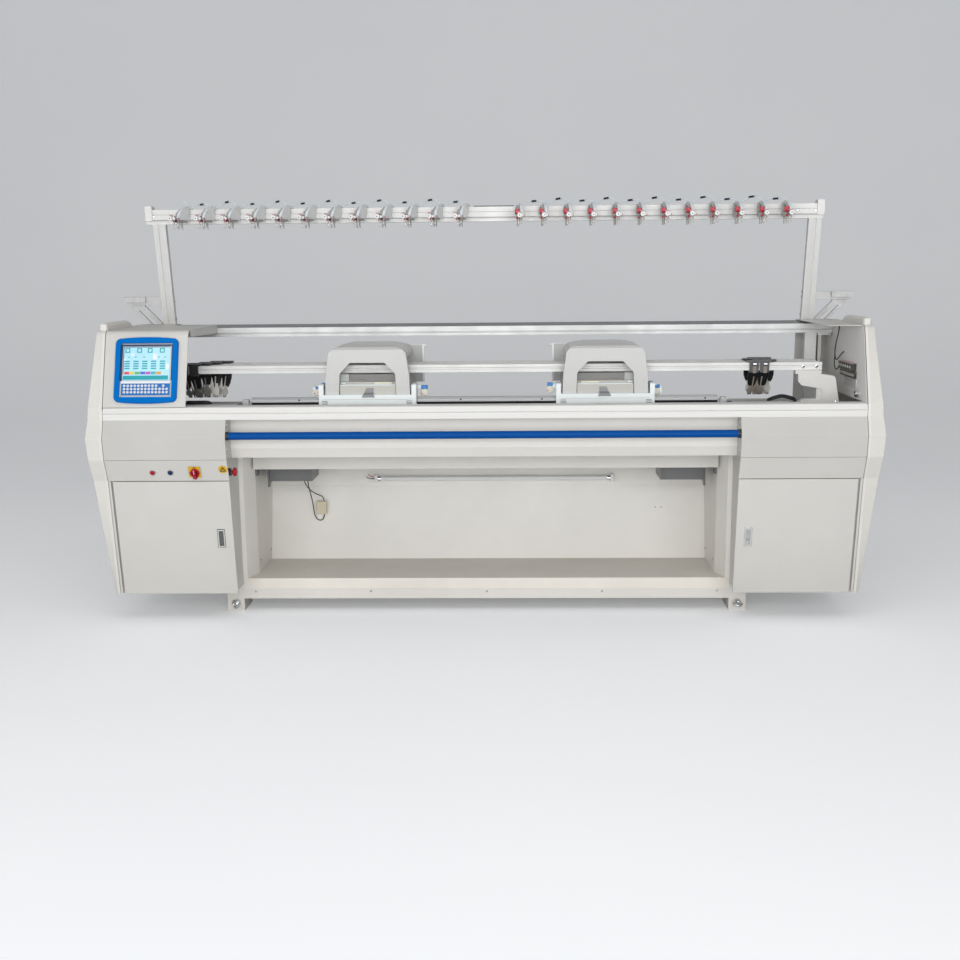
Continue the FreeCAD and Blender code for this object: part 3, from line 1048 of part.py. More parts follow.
def post_front(z):
    """Front face of a stand post at a height."""
    return d.rear_y - 5 - d.stand_deep - d.stand_lean * ((z - d.table_seat_z) / stand_rise)


# Side arms: a bar on each post with a wider block at its tip and a two-legged strut
# that stands on the casing top.
post_side = d.stand_x + d.stand_wide
arm_y = post_front(d.arm_z + d.arm_high / 2)
arm = box("side_arm", post_side, d.arm_x - 20, arm_y, arm_y + d.stand_deep, d.arm_z, d.arm_z + d.arm_high)
arm_block = box("arm_block", d.arm_x - d.arm_block, d.arm_x, arm_y - 14, arm_y + d.stand_deep + 6,
                d.arm_z + 12, d.arm_z + d.arm_high)
foot_z = d.casing_top_z + d.gap
strut_outer = prism("strut_outer", "XZ", [
    (post_side + 2, foot_z), (post_side + 63, foot_z), (d.arm_x - 40, d.arm_z - 14),
    (d.arm_x - 40, d.arm_z), (d.arm_x - 106, d.arm_z), (d.arm_x - 106, d.arm_z - 6),
    (post_side + 2, foot_z + 8)], arm_y + 8, arm_y + 26)
strut_window = prism("strut_window", "XZ", [
    (post_side + 17, foot_z - 5), (post_side + 44, foot_z - 5), (d.arm_x - 74, d.arm_z - 27),
    (d.arm_x - 98, d.arm_z - 27)], arm_y, arm_y + 40)
strut = cut("arm_strut", strut_outer, strut_window)
both("side_arms", fuse("side_arm_whole", arm, arm_block, strut))

# ------------------------------------------------------------------ tension units
# Each unit is a flat body on the beam's front, its cover rising over the beam, with
# tension discs, a knob on a rod in front and eyelets below.  The two groups lean outwards.
unit_n = int(d.unit_n)
left_xs = [-float(d.unit_first_x) + k * float(d.unit_left_pitch) for k in range(unit_n)]
right_xs = [float(d.unit_right_x) + k * float(d.unit_right_pitch) for k in range(unit_n)]
top, mid = d.stand_top_z, d.stand_mid_z
cover = prism("unit_cover", "YZ", [
    (bf - 5, mid - 1), (bf - 120, mid - 1), (bf - d.unit_front, mid + 11), (bf - 105, mid + 33),
    (bf - 75, top - 1), (bf - 40, top + 10), (bf - 5, top + 14), (bf + 25, top + 10),
    (bf + 40, top + 1), (bf - 5, top + 1)], d.gap, 13)
mech = prism("unit_mech", "YZ", [
    (bf - 5, mid - 8), (bf - 60, mid - 14), (bf - 100, mid - 6), (bf - 112, mid + 14),
    (bf - 92, mid + 34), (bf - 50, top + 2), (bf - 5, top + 4)], -13, 0)
discs = rod("unit_discs", "X", -24, bf - 66, mid + 24, 13, 12)
stud = rod("unit_stud", "Y", -7, bf - d.unit_front - 44, mid + 4, 3, 70)
unit_knob = rod("unit_knob", "Y", -7, bf - d.unit_front - 56, mid + 4, d.knob_r, 13)
prongs = []
for k, (px, py, low) in enumerate(((-9, -92, 42), (-4, -66, 36), (-9, -42, 44))):
    prongs.append(rod("unit_prong%d" % k, "Z", px, bf + py, mid - low, 2.5, low + 4))
unit_body = fuse("unit_body", mech, discs, stud, unit_knob, *prongs)
foot = box("unit_foot", -12, -3, bf - 9, bf, mid + 3, mid + 23)
doc.recompute()
pivot_y = float(bf) - 40
unit_covers, unit_bodies = [], []
leans = {"left": -float(d.unit_left_lean), "right": float(d.unit_right_lean)}
for side, xs in (("left", left_xs), ("right", right_xs)):
    turn = FreeCAD.Placement(FreeCAD.Vector(0, 0, 0), FreeCAD.Rotation(FreeCAD.Vector(0, 0, 1), leans[side]),
                             FreeCAD.Vector(0, pivot_y, 0))
    shifts = [(x, 0, 0) for x in xs]
    unit_covers.append(copies("covers_" + side, turned("cover_" + side, cover.Shape, turn), shifts))
    seated = fuse("seated_" + side, turned("body_" + side, unit_body.Shape, turn), foot)
    unit_bodies.append(copies("bodies_" + side, seated, shifts))
node("tension_covers", group("tension_covers", *unit_covers))
node("tension_units", group("tension_units", *unit_bodies))


def on_unit(side, x, y, z):
    """A point given in a unit's own leaning frame, as a point beside the unit at X = 0."""
    angle = math.radians(leans[side])
    y -= pivot_y
    return (x * math.cos(angle) - y * math.sin(angle),
            pivot_y + x * math.sin(angle) + y * math.cos(angle), float(z))


def tube(name, points, radius):
    """A round lead: straight runs joined by tangent arcs, swept by one circle."""
    p = [FreeCAD.Vector(*(float(c) for c in q)) for q in points]
    edges, last, bends = [], p[0], []
    for a, b, c in zip(p, p[1:], p[2:]):
        u, v = (a - b).normalize(), (c - b).normalize()
        half_turn = (math.pi - u.getAngle(v)) / 2
        room = 0.45 * min((a - b).Length, (c - b).Length)
        bend = room / math.tan(half_turn)
        bends.append(round(bend, 1))
        start, stop = b + u * room, b + v * room
        middle = (u + v).normalize()
        centre = b + middle * math.hypot(bend, room)
        edges.append(Part.LineSegment(last, start).toShape())
        edges.append(Part.Arc(start, centre - middle * bend, stop).toShape())
        last = stop
    edges.append(Part.LineSegment(last, p[-1]).toShape())
    path = Part.Wire(edges)
    circle = Part.Wire(Part.makeCircle(radius, p[0], p[1] - p[0]))
    obj = doc.addObject("Part::Feature", name)
    obj.Shape = path.makePipeShell([circle], True, False)
    print(name, "bend radii", bends, "length", round(path.Length, 1),
          "volume ratio", round(obj.Shape.Volume / (path.Length * math.pi * radius ** 2), 3))
    return obj


# Jumper leads: springy arcs from the back of each cover to the top of the next one.
lead_r = float(d.lead_r)
arcs = []
for side, pitch, xs in (("left", float(d.unit_left_pitch), left_xs),
                        ("right", float(d.unit_right_pitch), right_xs)):
    for level, lift in (("low", 0.0), ("high", float(d.jumper_lift))):
        z = float(top) + 4
        a = on_unit(side, 13.2, float(bf) + 20, z)
        b = on_unit(side, 30, float(bf) + 20, z + 2)
        e = on_unit(side, 6, float(bf) - 28, float(top) + 13.3 + lift * 0.04)
        seed = tube("jumper_%s_%s" % (side, level), [
            a, b, (b[0] + 17, b[1] - 6, z + 8 + lift * 0.55), (b[0] + 34, b[1] - 14, z + 15 + lift),
            (pitch + e[0] - 37, e[1] + 14, z + 19 + lift),
            (pitch + e[0] - 15, e[1] + 4, z + 17.5 + lift * 0.75), (pitch + e[0], e[1], e[2])], lead_r)
        start = 0 if level == "low" else 1
        arcs.append(copies("jumpers_%s_%s" % (side, level), seed,
                           [(x, 0, 0) for x in xs[start:-1:2]]))
# One end stands loose on the first unit's cover.
loose = on_unit("left", float(d.stub_x), float(bf) - 28, float(top) + 11.9)
lx, ly, lz = left_xs[0] + loose[0], loose[1], loose[2]
arcs.append(tube("loose_end", [(lx, ly, lz), (lx, ly, lz + 10), (lx - 2, ly - 2, lz + 20),
                               (lx - 6, ly - 4, lz + 29)], lead_r))
bed_z = float(top) + lead_r + 0.2
gap_x0, gap_x1 = left_xs[-1] + 44, right_xs[0] - 26
arcs.append(tube("beam_lead", [(gap_x0, float(bf) + 24, bed_z), (gap_x0 + 50, float(bf) + 20, bed_z),
                               (gap_x0 + 105, float(bf) + 27, bed_z), (gap_x1 - 50, float(bf) + 21, bed_z),
                               (gap_x1, float(bf) + 25, bed_z)], lead_r))
side_y, roof_z = 120, float(d.casing_top_z)
for k, drop in enumerate((150, 196)):
    x, low = float(plug_face) - 6, roof_z - drop
    arcs.append(tube("casing_lead%d" % k, [
        (x - 4, side_y, roof_z - float(t) - 0.2), (x - 5, side_y, roof_z - 40),
        (x - 13, side_y - 2, roof_z - 76), (x - 20, side_y - 5, roof_z - 110),
        (x - 23, side_y - 8, low + 10), (x - 22, side_y - 16, low - 14),
        (x - 20, side_y - 34, low - 28), (x - 16, side_y - 52, low - 20),
        (x - 10, side_y - 64, low - 5), (x - 2, side_y - 70, low + 8),
        (x + 4.2, side_y - 75, low + 15)], 2.5))
node("jumper_leads", group("jumper_leads", *arcs))

# ------------------------------------------------------------------ lamp and take-down
lamp = rod("lamp_tube", "X", -d.lamp_left_x, d.lamp_y, d.lamp_z, d.lamp_r, d.lamp_left_x + d.lamp_right_x)


def back_face(z):
    """Front face of the back panel's upper part at a height."""
    return d.back_mid_y - t + (d.back_top_y - d.back_mid_y + t) * (
        (z - d.back_mid_z) / (d.beam_low_z - d.back_mid_z))


socket_low, socket_high = d.lamp_z - 19, d.lamp_z + 19
sockets = []
for tag, x0, x1 in (("left", -d.lamp_left_x - 14, -d.lamp_left_x), ("right", d.lamp_right_x,
                                                                   d.lamp_right_x + 14)):
    sockets.append(prism("lamp_socket_" + tag, "YZ", [
        (d.lamp_y - 17, socket_low), (back_face(socket_low), socket_low),
        (back_face(socket_high), socket_high), (d.lamp_y - 17, socket_high)], x0, x1))
node("lamp", group("lamp", lamp, *sockets))

housing = box("gear_housing", d.gear_in_x, d.gear_out_x, d.gear_y, d.gear_y + d.gear_deep,
              d.gear_z, d.beam_low_z)
housing_bore = rod("gear_bore", "X", d.gear_in_x - 1, d.roll_y, d.roll_z, d.shaft_r + d.bush_fit, 31)
flap = prism("gear_flap", "YZ", [
    (d.gear_y - 12, d.gear_z - 28), (d.gear_y - 12, d.beam_low_z - 60), (d.gear_y + 60, d.beam_low_z - 60),
    (d.gear_y + 60, d.gear_z), (d.gear_y + 14, d.gear_z - 28)], d.gear_out_x, d.gear_out_x + 8)
inner_flap = prism("gear_inner_flap", "YZ", [
    (d.gear_y - 12, d.gear_z + 6), (d.gear_y - 12, d.beam_low_z - 60), (d.gear_y, d.beam_low_z - 60),
    (d.gear_y, d.gear_z + 6)], d.gear_in_x, d.gear_in_x + 14)
clip = box("leg_clip", d.side_x - 12, d.side_x, -d.angle_y + 2, -d.angle_y + 44, 640, 673)
housing_whole = fuse("gear_whole", cut("gear_bored", housing, housing_bore), flap, inner_flap)
node("takedown_housings", group("takedown_housings", housing_whole, mirror(housing_whole), clip,
                                mirror(clip)))
roller = rod("roller", "X", -d.gear_in_x + 3, d.roll_y, d.roll_z, d.roll_r, 2 * d.gear_in_x - 6)
shaft = rod("roller_shaft", "X", -d.gear_in_x - 26, d.roll_y, d.roll_z, d.shaft_r,
            2 * d.gear_in_x + 52)
node("takedown_roller", fuse("takedown_roller", roller, shaft))

# ------------------------------------------------------------------ belt drive
loop_r = d.pulley_r + d.belt_thick
loop_y = d.belt_y + loop_r


def loop(name, radius, low, high):
    """A stadium round both pulley axes."""
    return fuse(name, rod(name + "_a", "Z", -d.pulley_x, loop_y, low, radius, high - low),
                rod(name + "_b", "Z", d.pulley_x, loop_y, low, radius, high - low),
                box(name + "_c", -d.pulley_x, d.pulley_x, loop_y - radius, loop_y + radius, low, high))


belt_top = d.belt_z + d.belt_high
belt = cut("belt", loop("belt_outer", loop_r, d.belt_z, belt_top),
           loop("belt_inner", d.pulley_r + 0.1, d.belt_z - 1, belt_top + 1))
mount = box("pulley_mount", d.pulley_x - 30, d.pulley_x + 30, d.beam_y, loop_y + 40,
            d.beam_top_z - 30, d.belt_z - 25)
pin = rod("pulley_pin", "Z", d.pulley_x, loop_y, d.belt_z - 25, 8, d.belt_high + 30)
boss = rod("pulley_boss", "Z", d.pulley_x, loop_y, d.belt_z - 25, 13, 23 - d.gap)
carrier_post = fuse("pulley_stand", mount, pin, boss)
motor = rod("drive_motor", "Z", -d.pulley_x, loop_y, d.beam_top_z - 170, 45, 140)
node("belt_drive", group("belt_drive", belt, carrier_post, mirror(carrier_post), motor))
for tag, sign in (("left", -1), ("right", 1)):
    px = d.pulley_x * sign
    wheel = rod(tag + "_wheel", "Z", px, loop_y, d.belt_z - 2, d.pulley_r - d.gap, d.belt_high + 4)
    wheel_bore = rod(tag + "_wheel_bore", "Z", px, loop_y, d.belt_z - 3, 8 + d.bush_fit, d.belt_high + 6)
    node(tag + "_pulley", cut(tag + "_pulley", wheel, wheel_bore))

# ------------------------------------------------------------------ carriages
ax, sx = d.arch_low_x, d.arch_high_x
arch_face = prism("arch_face", "XZ", [
    (-ax, d.arch_z), (-ax + 4, d.arch_z + 90), (-sx - 6, d.arch_side_z), (-sx + 14, d.arch_side_z + 20),
    (-sx + 50, d.arch_front_z), (-sx + 100, d.arch_back_z + 2), (sx - 100, d.arch_back_z + 2),
    (sx - 50, d.arch_front_z), (sx - 14, d.arch_side_z + 20), (sx + 6, d.arch_side_z),
    (ax - 4, d.arch_z + 90), (ax, d.arch_z)], -d.arch_y - 10, d.arch_y + 10)
arch_side = prism("arch_side", "YZ", [
    (-d.arch_y, d.arch_z), (-d.arch_y + 3, d.arch_side_z + 15), (-d.arch_y + 16, d.arch_front_z - 4),
    (-d.arch_y + 60, d.arch_back_z - 2), (d.arch_y - 60, d.arch_back_z), (d.arch_y - 10, d.arch_side_z + 24),
    (d.arch_y, d.arch_side_z), (d.arch_y, d.arch_z)], -ax - 5, ax + 5)
arch_block = doc.addObject("Part::Common", "arch_block")
arch_block.Base, arch_block.Tool = arch_face, arch_side
tunnel = box("arch_tunnel", -ax - 10, ax + 10, -d.tunnel_y, d.tunnel_y, d.arch_z - 5, d.tunnel_z)
window = prism("arch_window", "XZ", [
    (-d.window_low_x, d.arch_z - 5), (-d.window_low_x + 3, d.window_z - 56),
    (-d.window_low_x + 8, d.window_z - 46), (-d.window_top_x, d.window_z), (d.window_top_x, d.window_z),
    (d.window_low_x - 8, d.window_z - 46), (d.window_low_x - 3, d.window_z - 56),
    (d.window_low_x, d.arch_z - 5)], -d.arch_y - 12, -d.tunnel_y + 5)
arch = cut("arch_piece", arch_block, tunnel, window)

bed_lift = d.bed_top_z + d.lift
cam_inner = 22


def cam_profile(sign):
    """A cam box over one bed: it rides above the slope and bridges the guide rail."""
    pts = [(196, d.rail_top_z + 6), (196, d.arch_z), (72, d.arch_z), (cam_inner, d.bed_top_z),
           (cam_inner, bed_lift - (cam_inner - d.bed_gap) * slope),
           (d.rail_in_y - 6, bed_lift - (d.rail_in_y - 6 - d.bed_gap) * slope),
           (d.rail_in_y - 6, d.rail_top_z + 6)]
    return [(y * sign if sign > 0 else -y, z) for y, z in pts][::-sign]


cam_w = d.tray_x - d.tray_end
front_cam = prism("front_cam", "YZ", cam_profile(-1), -cam_w, cam_w)
rear_cam = prism("rear_cam", "YZ", cam_profile(1), -cam_w, cam_w)
raised = prism("raised_cam", "YZ", [
    (-196, d.arch_z), (-82, d.arch_z), (-150, d.cam_high_z - 4), (-186, d.cam_high_z),
    (-196, d.cam_high_z - 8)], -d.window_low_x + 4, d.window_low_x - 4)
clamp = box("belt_clamp", -40, 40, 196, d.belt_y - d.gap, d.belt_z - 4, d.arch_z)
front_box = fuse("front_box", front_cam, raised)
rear_box = fuse("rear_box", rear_cam, clamp)
tray_front = box("tray_front", -cam_w, cam_w, -d.tray_y, -d.tray_y + 4, 985, d.arch_z)
tray_shelf = box("tray_shelf", -cam_w, cam_w, -d.tray_y, -196, d.arch_z - 5, d.arch_z)
tray_ends = []
for tag, x0, x1 in (("a", -d.tray_x, -cam_w), ("b", cam_w, d.tray_x)):
    tray_ends.append(prism("tray_end_" + tag, "YZ", [
        (-d.tray_y, 985), (-d.tray_y, d.tray_end_z - 4), (-d.tray_y + 8, d.tray_end_z),
        (-112, d.tray_end_z), (-112, 1062), (-150, d.rail_top_z + 6), (-196, d.rail_top_z + 6),
        (-196, 985)], x0, x1))
tray = fuse("tray", tray_front, tray_shelf, *tray_ends)
sensors = []
for tag, sign in (("a", -1), ("b", 1)):
    x0, x1 = sorted((d.tray_x * sign, (d.tray_x + 18) * sign))
    arm_piece = box("sensor_arm_" + tag, x0, x1, -132, -116, 1064, 1080)
    pot = rod("sensor_pot_" + tag, "Y", (d.tray_x + 28) * sign, -132, 1046, 14, 26)
    c0, c1 = sorted(((d.tray_x + 18) * sign, (d.tray_x + 38) * sign))
    lid = box("sensor_lid_" + tag, c0, c1, -130, -108, 1052, 1072)
    sensors.append(fuse("sensor_" + tag, arm_piece, pot, lid))
rear_plate = box("rear_plate", sx - 30, d.tray_x + 10, d.arch_y, d.arch_y + 5, 1068, 1250)
rear_knob = rod("rear_knob", "X", d.tray_x + 10, d.arch_y + 2.5, 1243, 5, 12)
plate_whole = fuse("rear_plate_whole", rear_plate, rear_knob)
seed_left = group("tray_set_left", front_box, rear_box, tray, *(sensors + [plate_whole]))
seed_right = mirror(seed_left)
for tag, x, seed in (("left", -d.car_left_x, seed_left), ("right", d.car_right_x, seed_right)):
    node(tag + "_arch", copies(tag + "_arch", arch, [(float(x), 0, 0)]))
    node(tag + "_cams", copies(tag + "_cams", seed, [(float(x), 0, 0)]))

# ------------------------------------------------------------------ yarn carriers
# A carrier rings its rail; its two arms bend in under the rails to the gap of the beds.
tip_z, saddle, twin_x = 1016, 9, 24
for k, yc in enumerate(rail_centres):
    out = -1 if k < 2 else 1
    outer_rail = k in (0, 3)
    bend = (58, 1062) if outer_rail else (21, 1078)
    tip_y = 8.5 if outer_rail else 2.7
    y0 = abs(float(yc))
    half = d.yarn_wide / 2 + d.gap
    rings, arms = [], []
    for tag, tx in (("a", -twin_x), ("b", twin_x)):
        block = box("saddle_%d%s" % (k, tag), tx - 21, tx + 21, yc - half - saddle, yc + half + saddle,
                    yarn_low - d.gap - saddle, d.yarn_top_z + d.gap + saddle)
        rings.append(block)
        path = [(y0, float(yarn_low) - 8), bend, (tip_y, tip_z)]
        left_edge = [(y + 2.2, z) for y, z in path[:2]] + [(tip_y + 1.5, tip_z)]
        right_edge = [(y - 2.2, z) for y, z in path[:2]] + [(tip_y - 1.5, tip_z)]
        if outer_rail:
            left_edge[1] = (bend[0] + 2.6, bend[1] - 2.4)
            right_edge[1] = (bend[0] - 1.2, bend[1] + 2.4)
        pts = [(y * out, z) for y, z in left_edge + right_edge[::-1]]
        arms.append(prism("arm_%d%s" % (k, tag), "YZ", pts, tx - 5, tx + 5))
    bar_top = box("saddle_bar_%d" % k, -twin_x - 30, twin_x + 30, yc - half - saddle,
                  yc + half + saddle, d.yarn_top_z + d.gap, d.yarn_top_z + d.gap + saddle)
    bore = box("saddle_bore_%d" % k, -100, 100, yc - half, yc + half, yarn_low - d.gap,
               d.yarn_top_z + d.gap)
    ring_set = cut("saddle_set_%d" % k, fuse("saddle_pair_%d" % k, bar_top, *rings), bore)
    whole = fuse("carrier_seed_%d" % k, ring_set, *arms)
    right_x = d.carrier_right_x + d.carrier_step * (k % 2)
    for tag, x in (("left", -d.carrier_left_x + d.carrier_step * k), ("right", right_x)):
        label = "%s_carrier_%d" % (tag, k + 1)
        node(label, copies(label, whole, [(float(x), 0, 0)]))

# ------------------------------------------------------------------ the two short leads
node("connector", box("connector", -872, -822, 350, 376, 386, 450))
exit_z = float(d.gear_z) - 0.2
node("lead_upper", tube("lead_upper", [
    (-925, 300, exit_z), (-925, 301, 575), (-918, 308, 545), (-900, 322, 515), (-876, 340, 494),
    (-852, 355, 482), (-837, 362, 470), (-834.5, 362, 450.2)], 2.5))
node("lead_lower", tube("lead_lower", [
    (-905, 300, exit_z), (-905, 301, 575), (-904, 308, 540), (-896, 326, 490), (-889, 340, 445),
    (-887, 352, 405), (-884, 359, 375), (-870, 362, 353), (-849, 363, 350), (-836.5, 363, 366),
    (-836, 363, 385.8)], 2.5))

# ------------------------------------------------------------------ check and export
doc.recompute()
faults = [o.Name for o in doc.Objects if "Invalid" in o.State or "Error" in o.State]
faults += [o.Label for o in nodes if o.Shape.isNull() or not o.Shape.isValid()
           or not o.Shape.Solids]
if faults:
    raise RuntimeError("not built: " + ", ".join(faults))
os.makedirs("parts", exist_ok=True)
for obj in nodes:
    obj.Shape.exportStep("parts/%s.step" % obj.Label)
print(len(nodes), "nodes")
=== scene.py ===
import math

import bpy
import numpy as np
from mathutils import Matrix, Vector


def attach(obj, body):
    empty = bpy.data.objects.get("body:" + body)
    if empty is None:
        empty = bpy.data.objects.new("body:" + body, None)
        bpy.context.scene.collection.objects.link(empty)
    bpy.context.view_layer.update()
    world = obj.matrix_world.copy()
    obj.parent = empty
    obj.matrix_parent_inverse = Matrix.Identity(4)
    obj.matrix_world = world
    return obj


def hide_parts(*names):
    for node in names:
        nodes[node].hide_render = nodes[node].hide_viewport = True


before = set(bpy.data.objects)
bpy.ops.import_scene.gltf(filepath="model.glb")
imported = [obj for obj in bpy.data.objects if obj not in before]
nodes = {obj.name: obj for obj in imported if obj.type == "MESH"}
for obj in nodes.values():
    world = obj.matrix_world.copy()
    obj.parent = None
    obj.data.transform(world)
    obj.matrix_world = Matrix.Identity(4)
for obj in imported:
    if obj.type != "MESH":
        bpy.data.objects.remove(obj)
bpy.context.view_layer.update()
scene = bpy.context.scene
scene.view_settings.view_transform = "Standard"

# --- Camera ---------------------------------------------------------------------------
# The photograph's view: a long lens from the front, a little above the machine, aimed
# slightly down and a touch to the left. The shift holds the picture's lower centre.
eye_yaw, eye_roll = -0.0314, -0.009
eye_way = Vector((-0.03065462, 0.97583329, -0.21635545))
eye_right = Vector((math.cos(eye_yaw), -math.sin(eye_yaw), 0.0))
eye_up = eye_right.cross(eye_way)
turned_right = math.cos(eye_roll) * eye_right + math.sin(eye_roll) * eye_up
turned_up = math.cos(eye_roll) * eye_up - math.sin(eye_roll) * eye_right
eye_data = bpy.data.cameras.new("photo_camera")
eye_data.lens, eye_data.sensor_width, eye_data.sensor_fit = 50.54, 36.0, "HORIZONTAL"
eye_data.shift_y, eye_data.clip_end = 0.0902, 200.0
eye = bpy.data.objects.new("photo_camera", eye_data)
scene.collection.objects.link(eye)
eye.matrix_world = Matrix.Translation((0.1737, -6.41936, 1.60862)) @ Matrix(
    (turned_right, turned_up, -eye_way)).transposed().to_4x4()
scene.camera = eye

# --- Take-down sensor leads -----------------------------------------------------------
# Two thin black rubber leads hang from the left take-down gear to an ivory connector.
# Both are limp: the first falls straight to it, the second loops below and comes back up.


def wired(tree, made, links, **known):
    """Adds nodes, name: (type, properties, inputs), then joins each "node.output > node.input"."""
    for label, (kind, properties, values) in made.items():
        node = known[label] = tree.nodes.new("ShaderNode" + kind)
        node.name = label
        for key, value in properties.items():
            setattr(node, key, value)
        for key, value in values.items():
            node.inputs[key].default_value = value
    for link in links:
        (start, out), (end, into) = (side.split(".") for side in link.split(" > "))
        tree.links.new(known[start].outputs[out], known[end].inputs[int(into) if into.isdigit() else into])
    return known


rubber = bpy.data.materials.new("lead_rubber")
rubber.use_nodes = True
shader = rubber.node_tree.nodes["Principled BSDF"]
shader.inputs["Roughness"].default_value = 0.55
made = wired(rubber.node_tree, {
    "where": ("TexCoord", {}, {}),
    "grain": ("TexNoise", {}, {"Scale": 1400.0, "Detail": 3.0}),
    "shades": ("ValToRGB", {}, {}),
    "ripple": ("Bump", {}, {"Strength": 0.3, "Distance": 0.0003})},
    ["where.Object > grain.Vector", "grain.Fac > shades.Fac", "shades.Color > shader.Base Color",
     "grain.Fac > ripple.Height", "ripple.Normal > shader.Normal"], shader=shader)
made["shades"].color_ramp.elements[0].color = (0.006, 0.006, 0.007, 1.0)
made["shades"].color_ramp.elements[1].color = (0.028, 0.028, 0.03, 1.0)


def lead(name, routes, radius, material, body="machine"):
    """Leads: each route's points control one open NURBS spline of order 3, in one curve."""
    curve = bpy.data.curves.new(name, "CURVE")
    curve.dimensions, curve.bevel_depth, curve.bevel_resolution = "3D", radius, 3
    curve.resolution_u, curve.use_fill_caps = 8, True
    for route in routes:
        spline = curve.splines.new("NURBS")
        spline.points.add(len(route) - 1)
        spline.points.foreach_set("co", np.c_[np.array(route, float), np.ones(len(route))].ravel())
        spline.order_u, spline.use_endpoint_u = 3, True
    piece = bpy.data.objects.new(name, curve)
    scene.collection.objects.link(piece)
    curve.materials.append(material)
    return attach(piece, body)


upper_lead = lead("upper_sensor_lead", [[
    (-0.925, 0.300, 0.5948), (-0.925, 0.301, 0.575), (-0.918, 0.308, 0.545), (-0.900, 0.322, 0.515),
    (-0.876, 0.340, 0.494), (-0.852, 0.355, 0.482), (-0.837, 0.362, 0.470),
    (-0.8345, 0.362, 0.4502)]], 0.0025, rubber)
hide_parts("lead_upper")
lower_lead = lead("lower_sensor_lead", [[
    (-0.905, 0.300, 0.5948), (-0.905, 0.301, 0.575), (-0.904, 0.308, 0.540), (-0.896, 0.326, 0.490),
    (-0.889, 0.340, 0.445), (-0.887, 0.352, 0.405), (-0.884, 0.359, 0.375), (-0.870, 0.362, 0.353),
    (-0.849, 0.363, 0.350), (-0.8365, 0.363, 0.366), (-0.836, 0.363, 0.3858)]], 0.0025, rubber)
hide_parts("lead_lower")

# --- Studio ---------------------------------------------------------------------------
# A pale seamless floor that curves up into the backdrop, an even sky, broad soft lights
# from above and from behind the camera, and a weak one from the left that models the folds.
sweep = np.array([(-14.0, 0.0), (9.0, 0.0), (10.2, 0.12), (11.2, 0.5), (12.0, 1.2), (12.5, 2.2),
                  (12.7, 3.6), (12.7, 14.0)])
across = np.array([-22.0, 0.0, 22.0])
points = np.array([(x, y, z) for y, z in sweep for x in across])
row, col = np.meshgrid(np.arange(len(sweep) - 1), np.arange(len(across) - 1), indexing="ij")
corner = (row * len(across) + col).ravel()
quads = np.c_[corner, corner + 1, corner + len(across) + 1, corner + len(across)]
floor_mesh = bpy.data.meshes.new("studio_floor")
floor_mesh.from_pydata(points.tolist(), [], quads.tolist())
floor_mesh.polygons.foreach_set("use_smooth", [True] * len(quads))
floor = bpy.data.objects.new("studio_floor", floor_mesh)
scene.collection.objects.link(floor)
floor_paint = bpy.data.materials.new("studio_paint")
floor_paint.use_nodes = True
shader = floor_paint.node_tree.nodes["Principled BSDF"]
shader.inputs["Roughness"].default_value = 0.9
shader.inputs["Specular IOR Level"].default_value = 0.1
made = wired(floor_paint.node_tree, {
    "where": ("TexCoord", {}, {}),
    "cloud": ("TexNoise", {}, {"Scale": 0.35}),
    "shades": ("ValToRGB", {}, {}),
    "seen": ("LightPath", {}, {}),
    "lift": ("Math", {"operation": "MULTIPLY"}, {1: 0.22})},
    ["where.Object > cloud.Vector", "cloud.Fac > shades.Fac", "shades.Color > shader.Base Color",
     "seen.Is Camera Ray > lift.0", "shades.Color > shader.Emission Color",
     "lift.Value > shader.Emission Strength"], shader=shader)
made["shades"].color_ramp.elements[0].color = (0.80, 0.81, 0.83, 1.0)
made["shades"].color_ramp.elements[1].color = (0.86, 0.87, 0.88, 1.0)
floor_mesh.materials.append(floor_paint)
sky = bpy.data.worlds.new("studio_sky")
sky.use_nodes = True
sky.node_tree.nodes["Background"].inputs["Color"].default_value = (0.97, 0.985, 1.0, 1.0)
sky.node_tree.nodes["Background"].inputs["Strength"].default_value = 0.33
scene.world = sky
for name, spot, aim, size, power in (
        ("overhead_light", (0.4, -3.4, 5.2), (0.0, 0.0, 0.9), (7.0, 3.2), 82.0),
        ("front_light", (0.2, -8.4, 2.0), (0.0, 0.0, 0.8), (9.0, 3.6), 410.0),
        ("left_light", (-5.6, -4.6, 2.6), (-0.4, 0.0, 0.8), (3.0, 3.0), 35.0)):
    lamp_data = bpy.data.lights.new(name, "AREA")
    lamp_data.shape, lamp_data.size, lamp_data.size_y = "RECTANGLE", size[0], size[1]
    lamp_data.energy = power
    light = bpy.data.objects.new(name, lamp_data)
    light.location = spot
    light.rotation_euler = (Vector(aim) - Vector(spot)).to_track_quat("-Z", "Y").to_euler()
    scene.collection.objects.link(light)
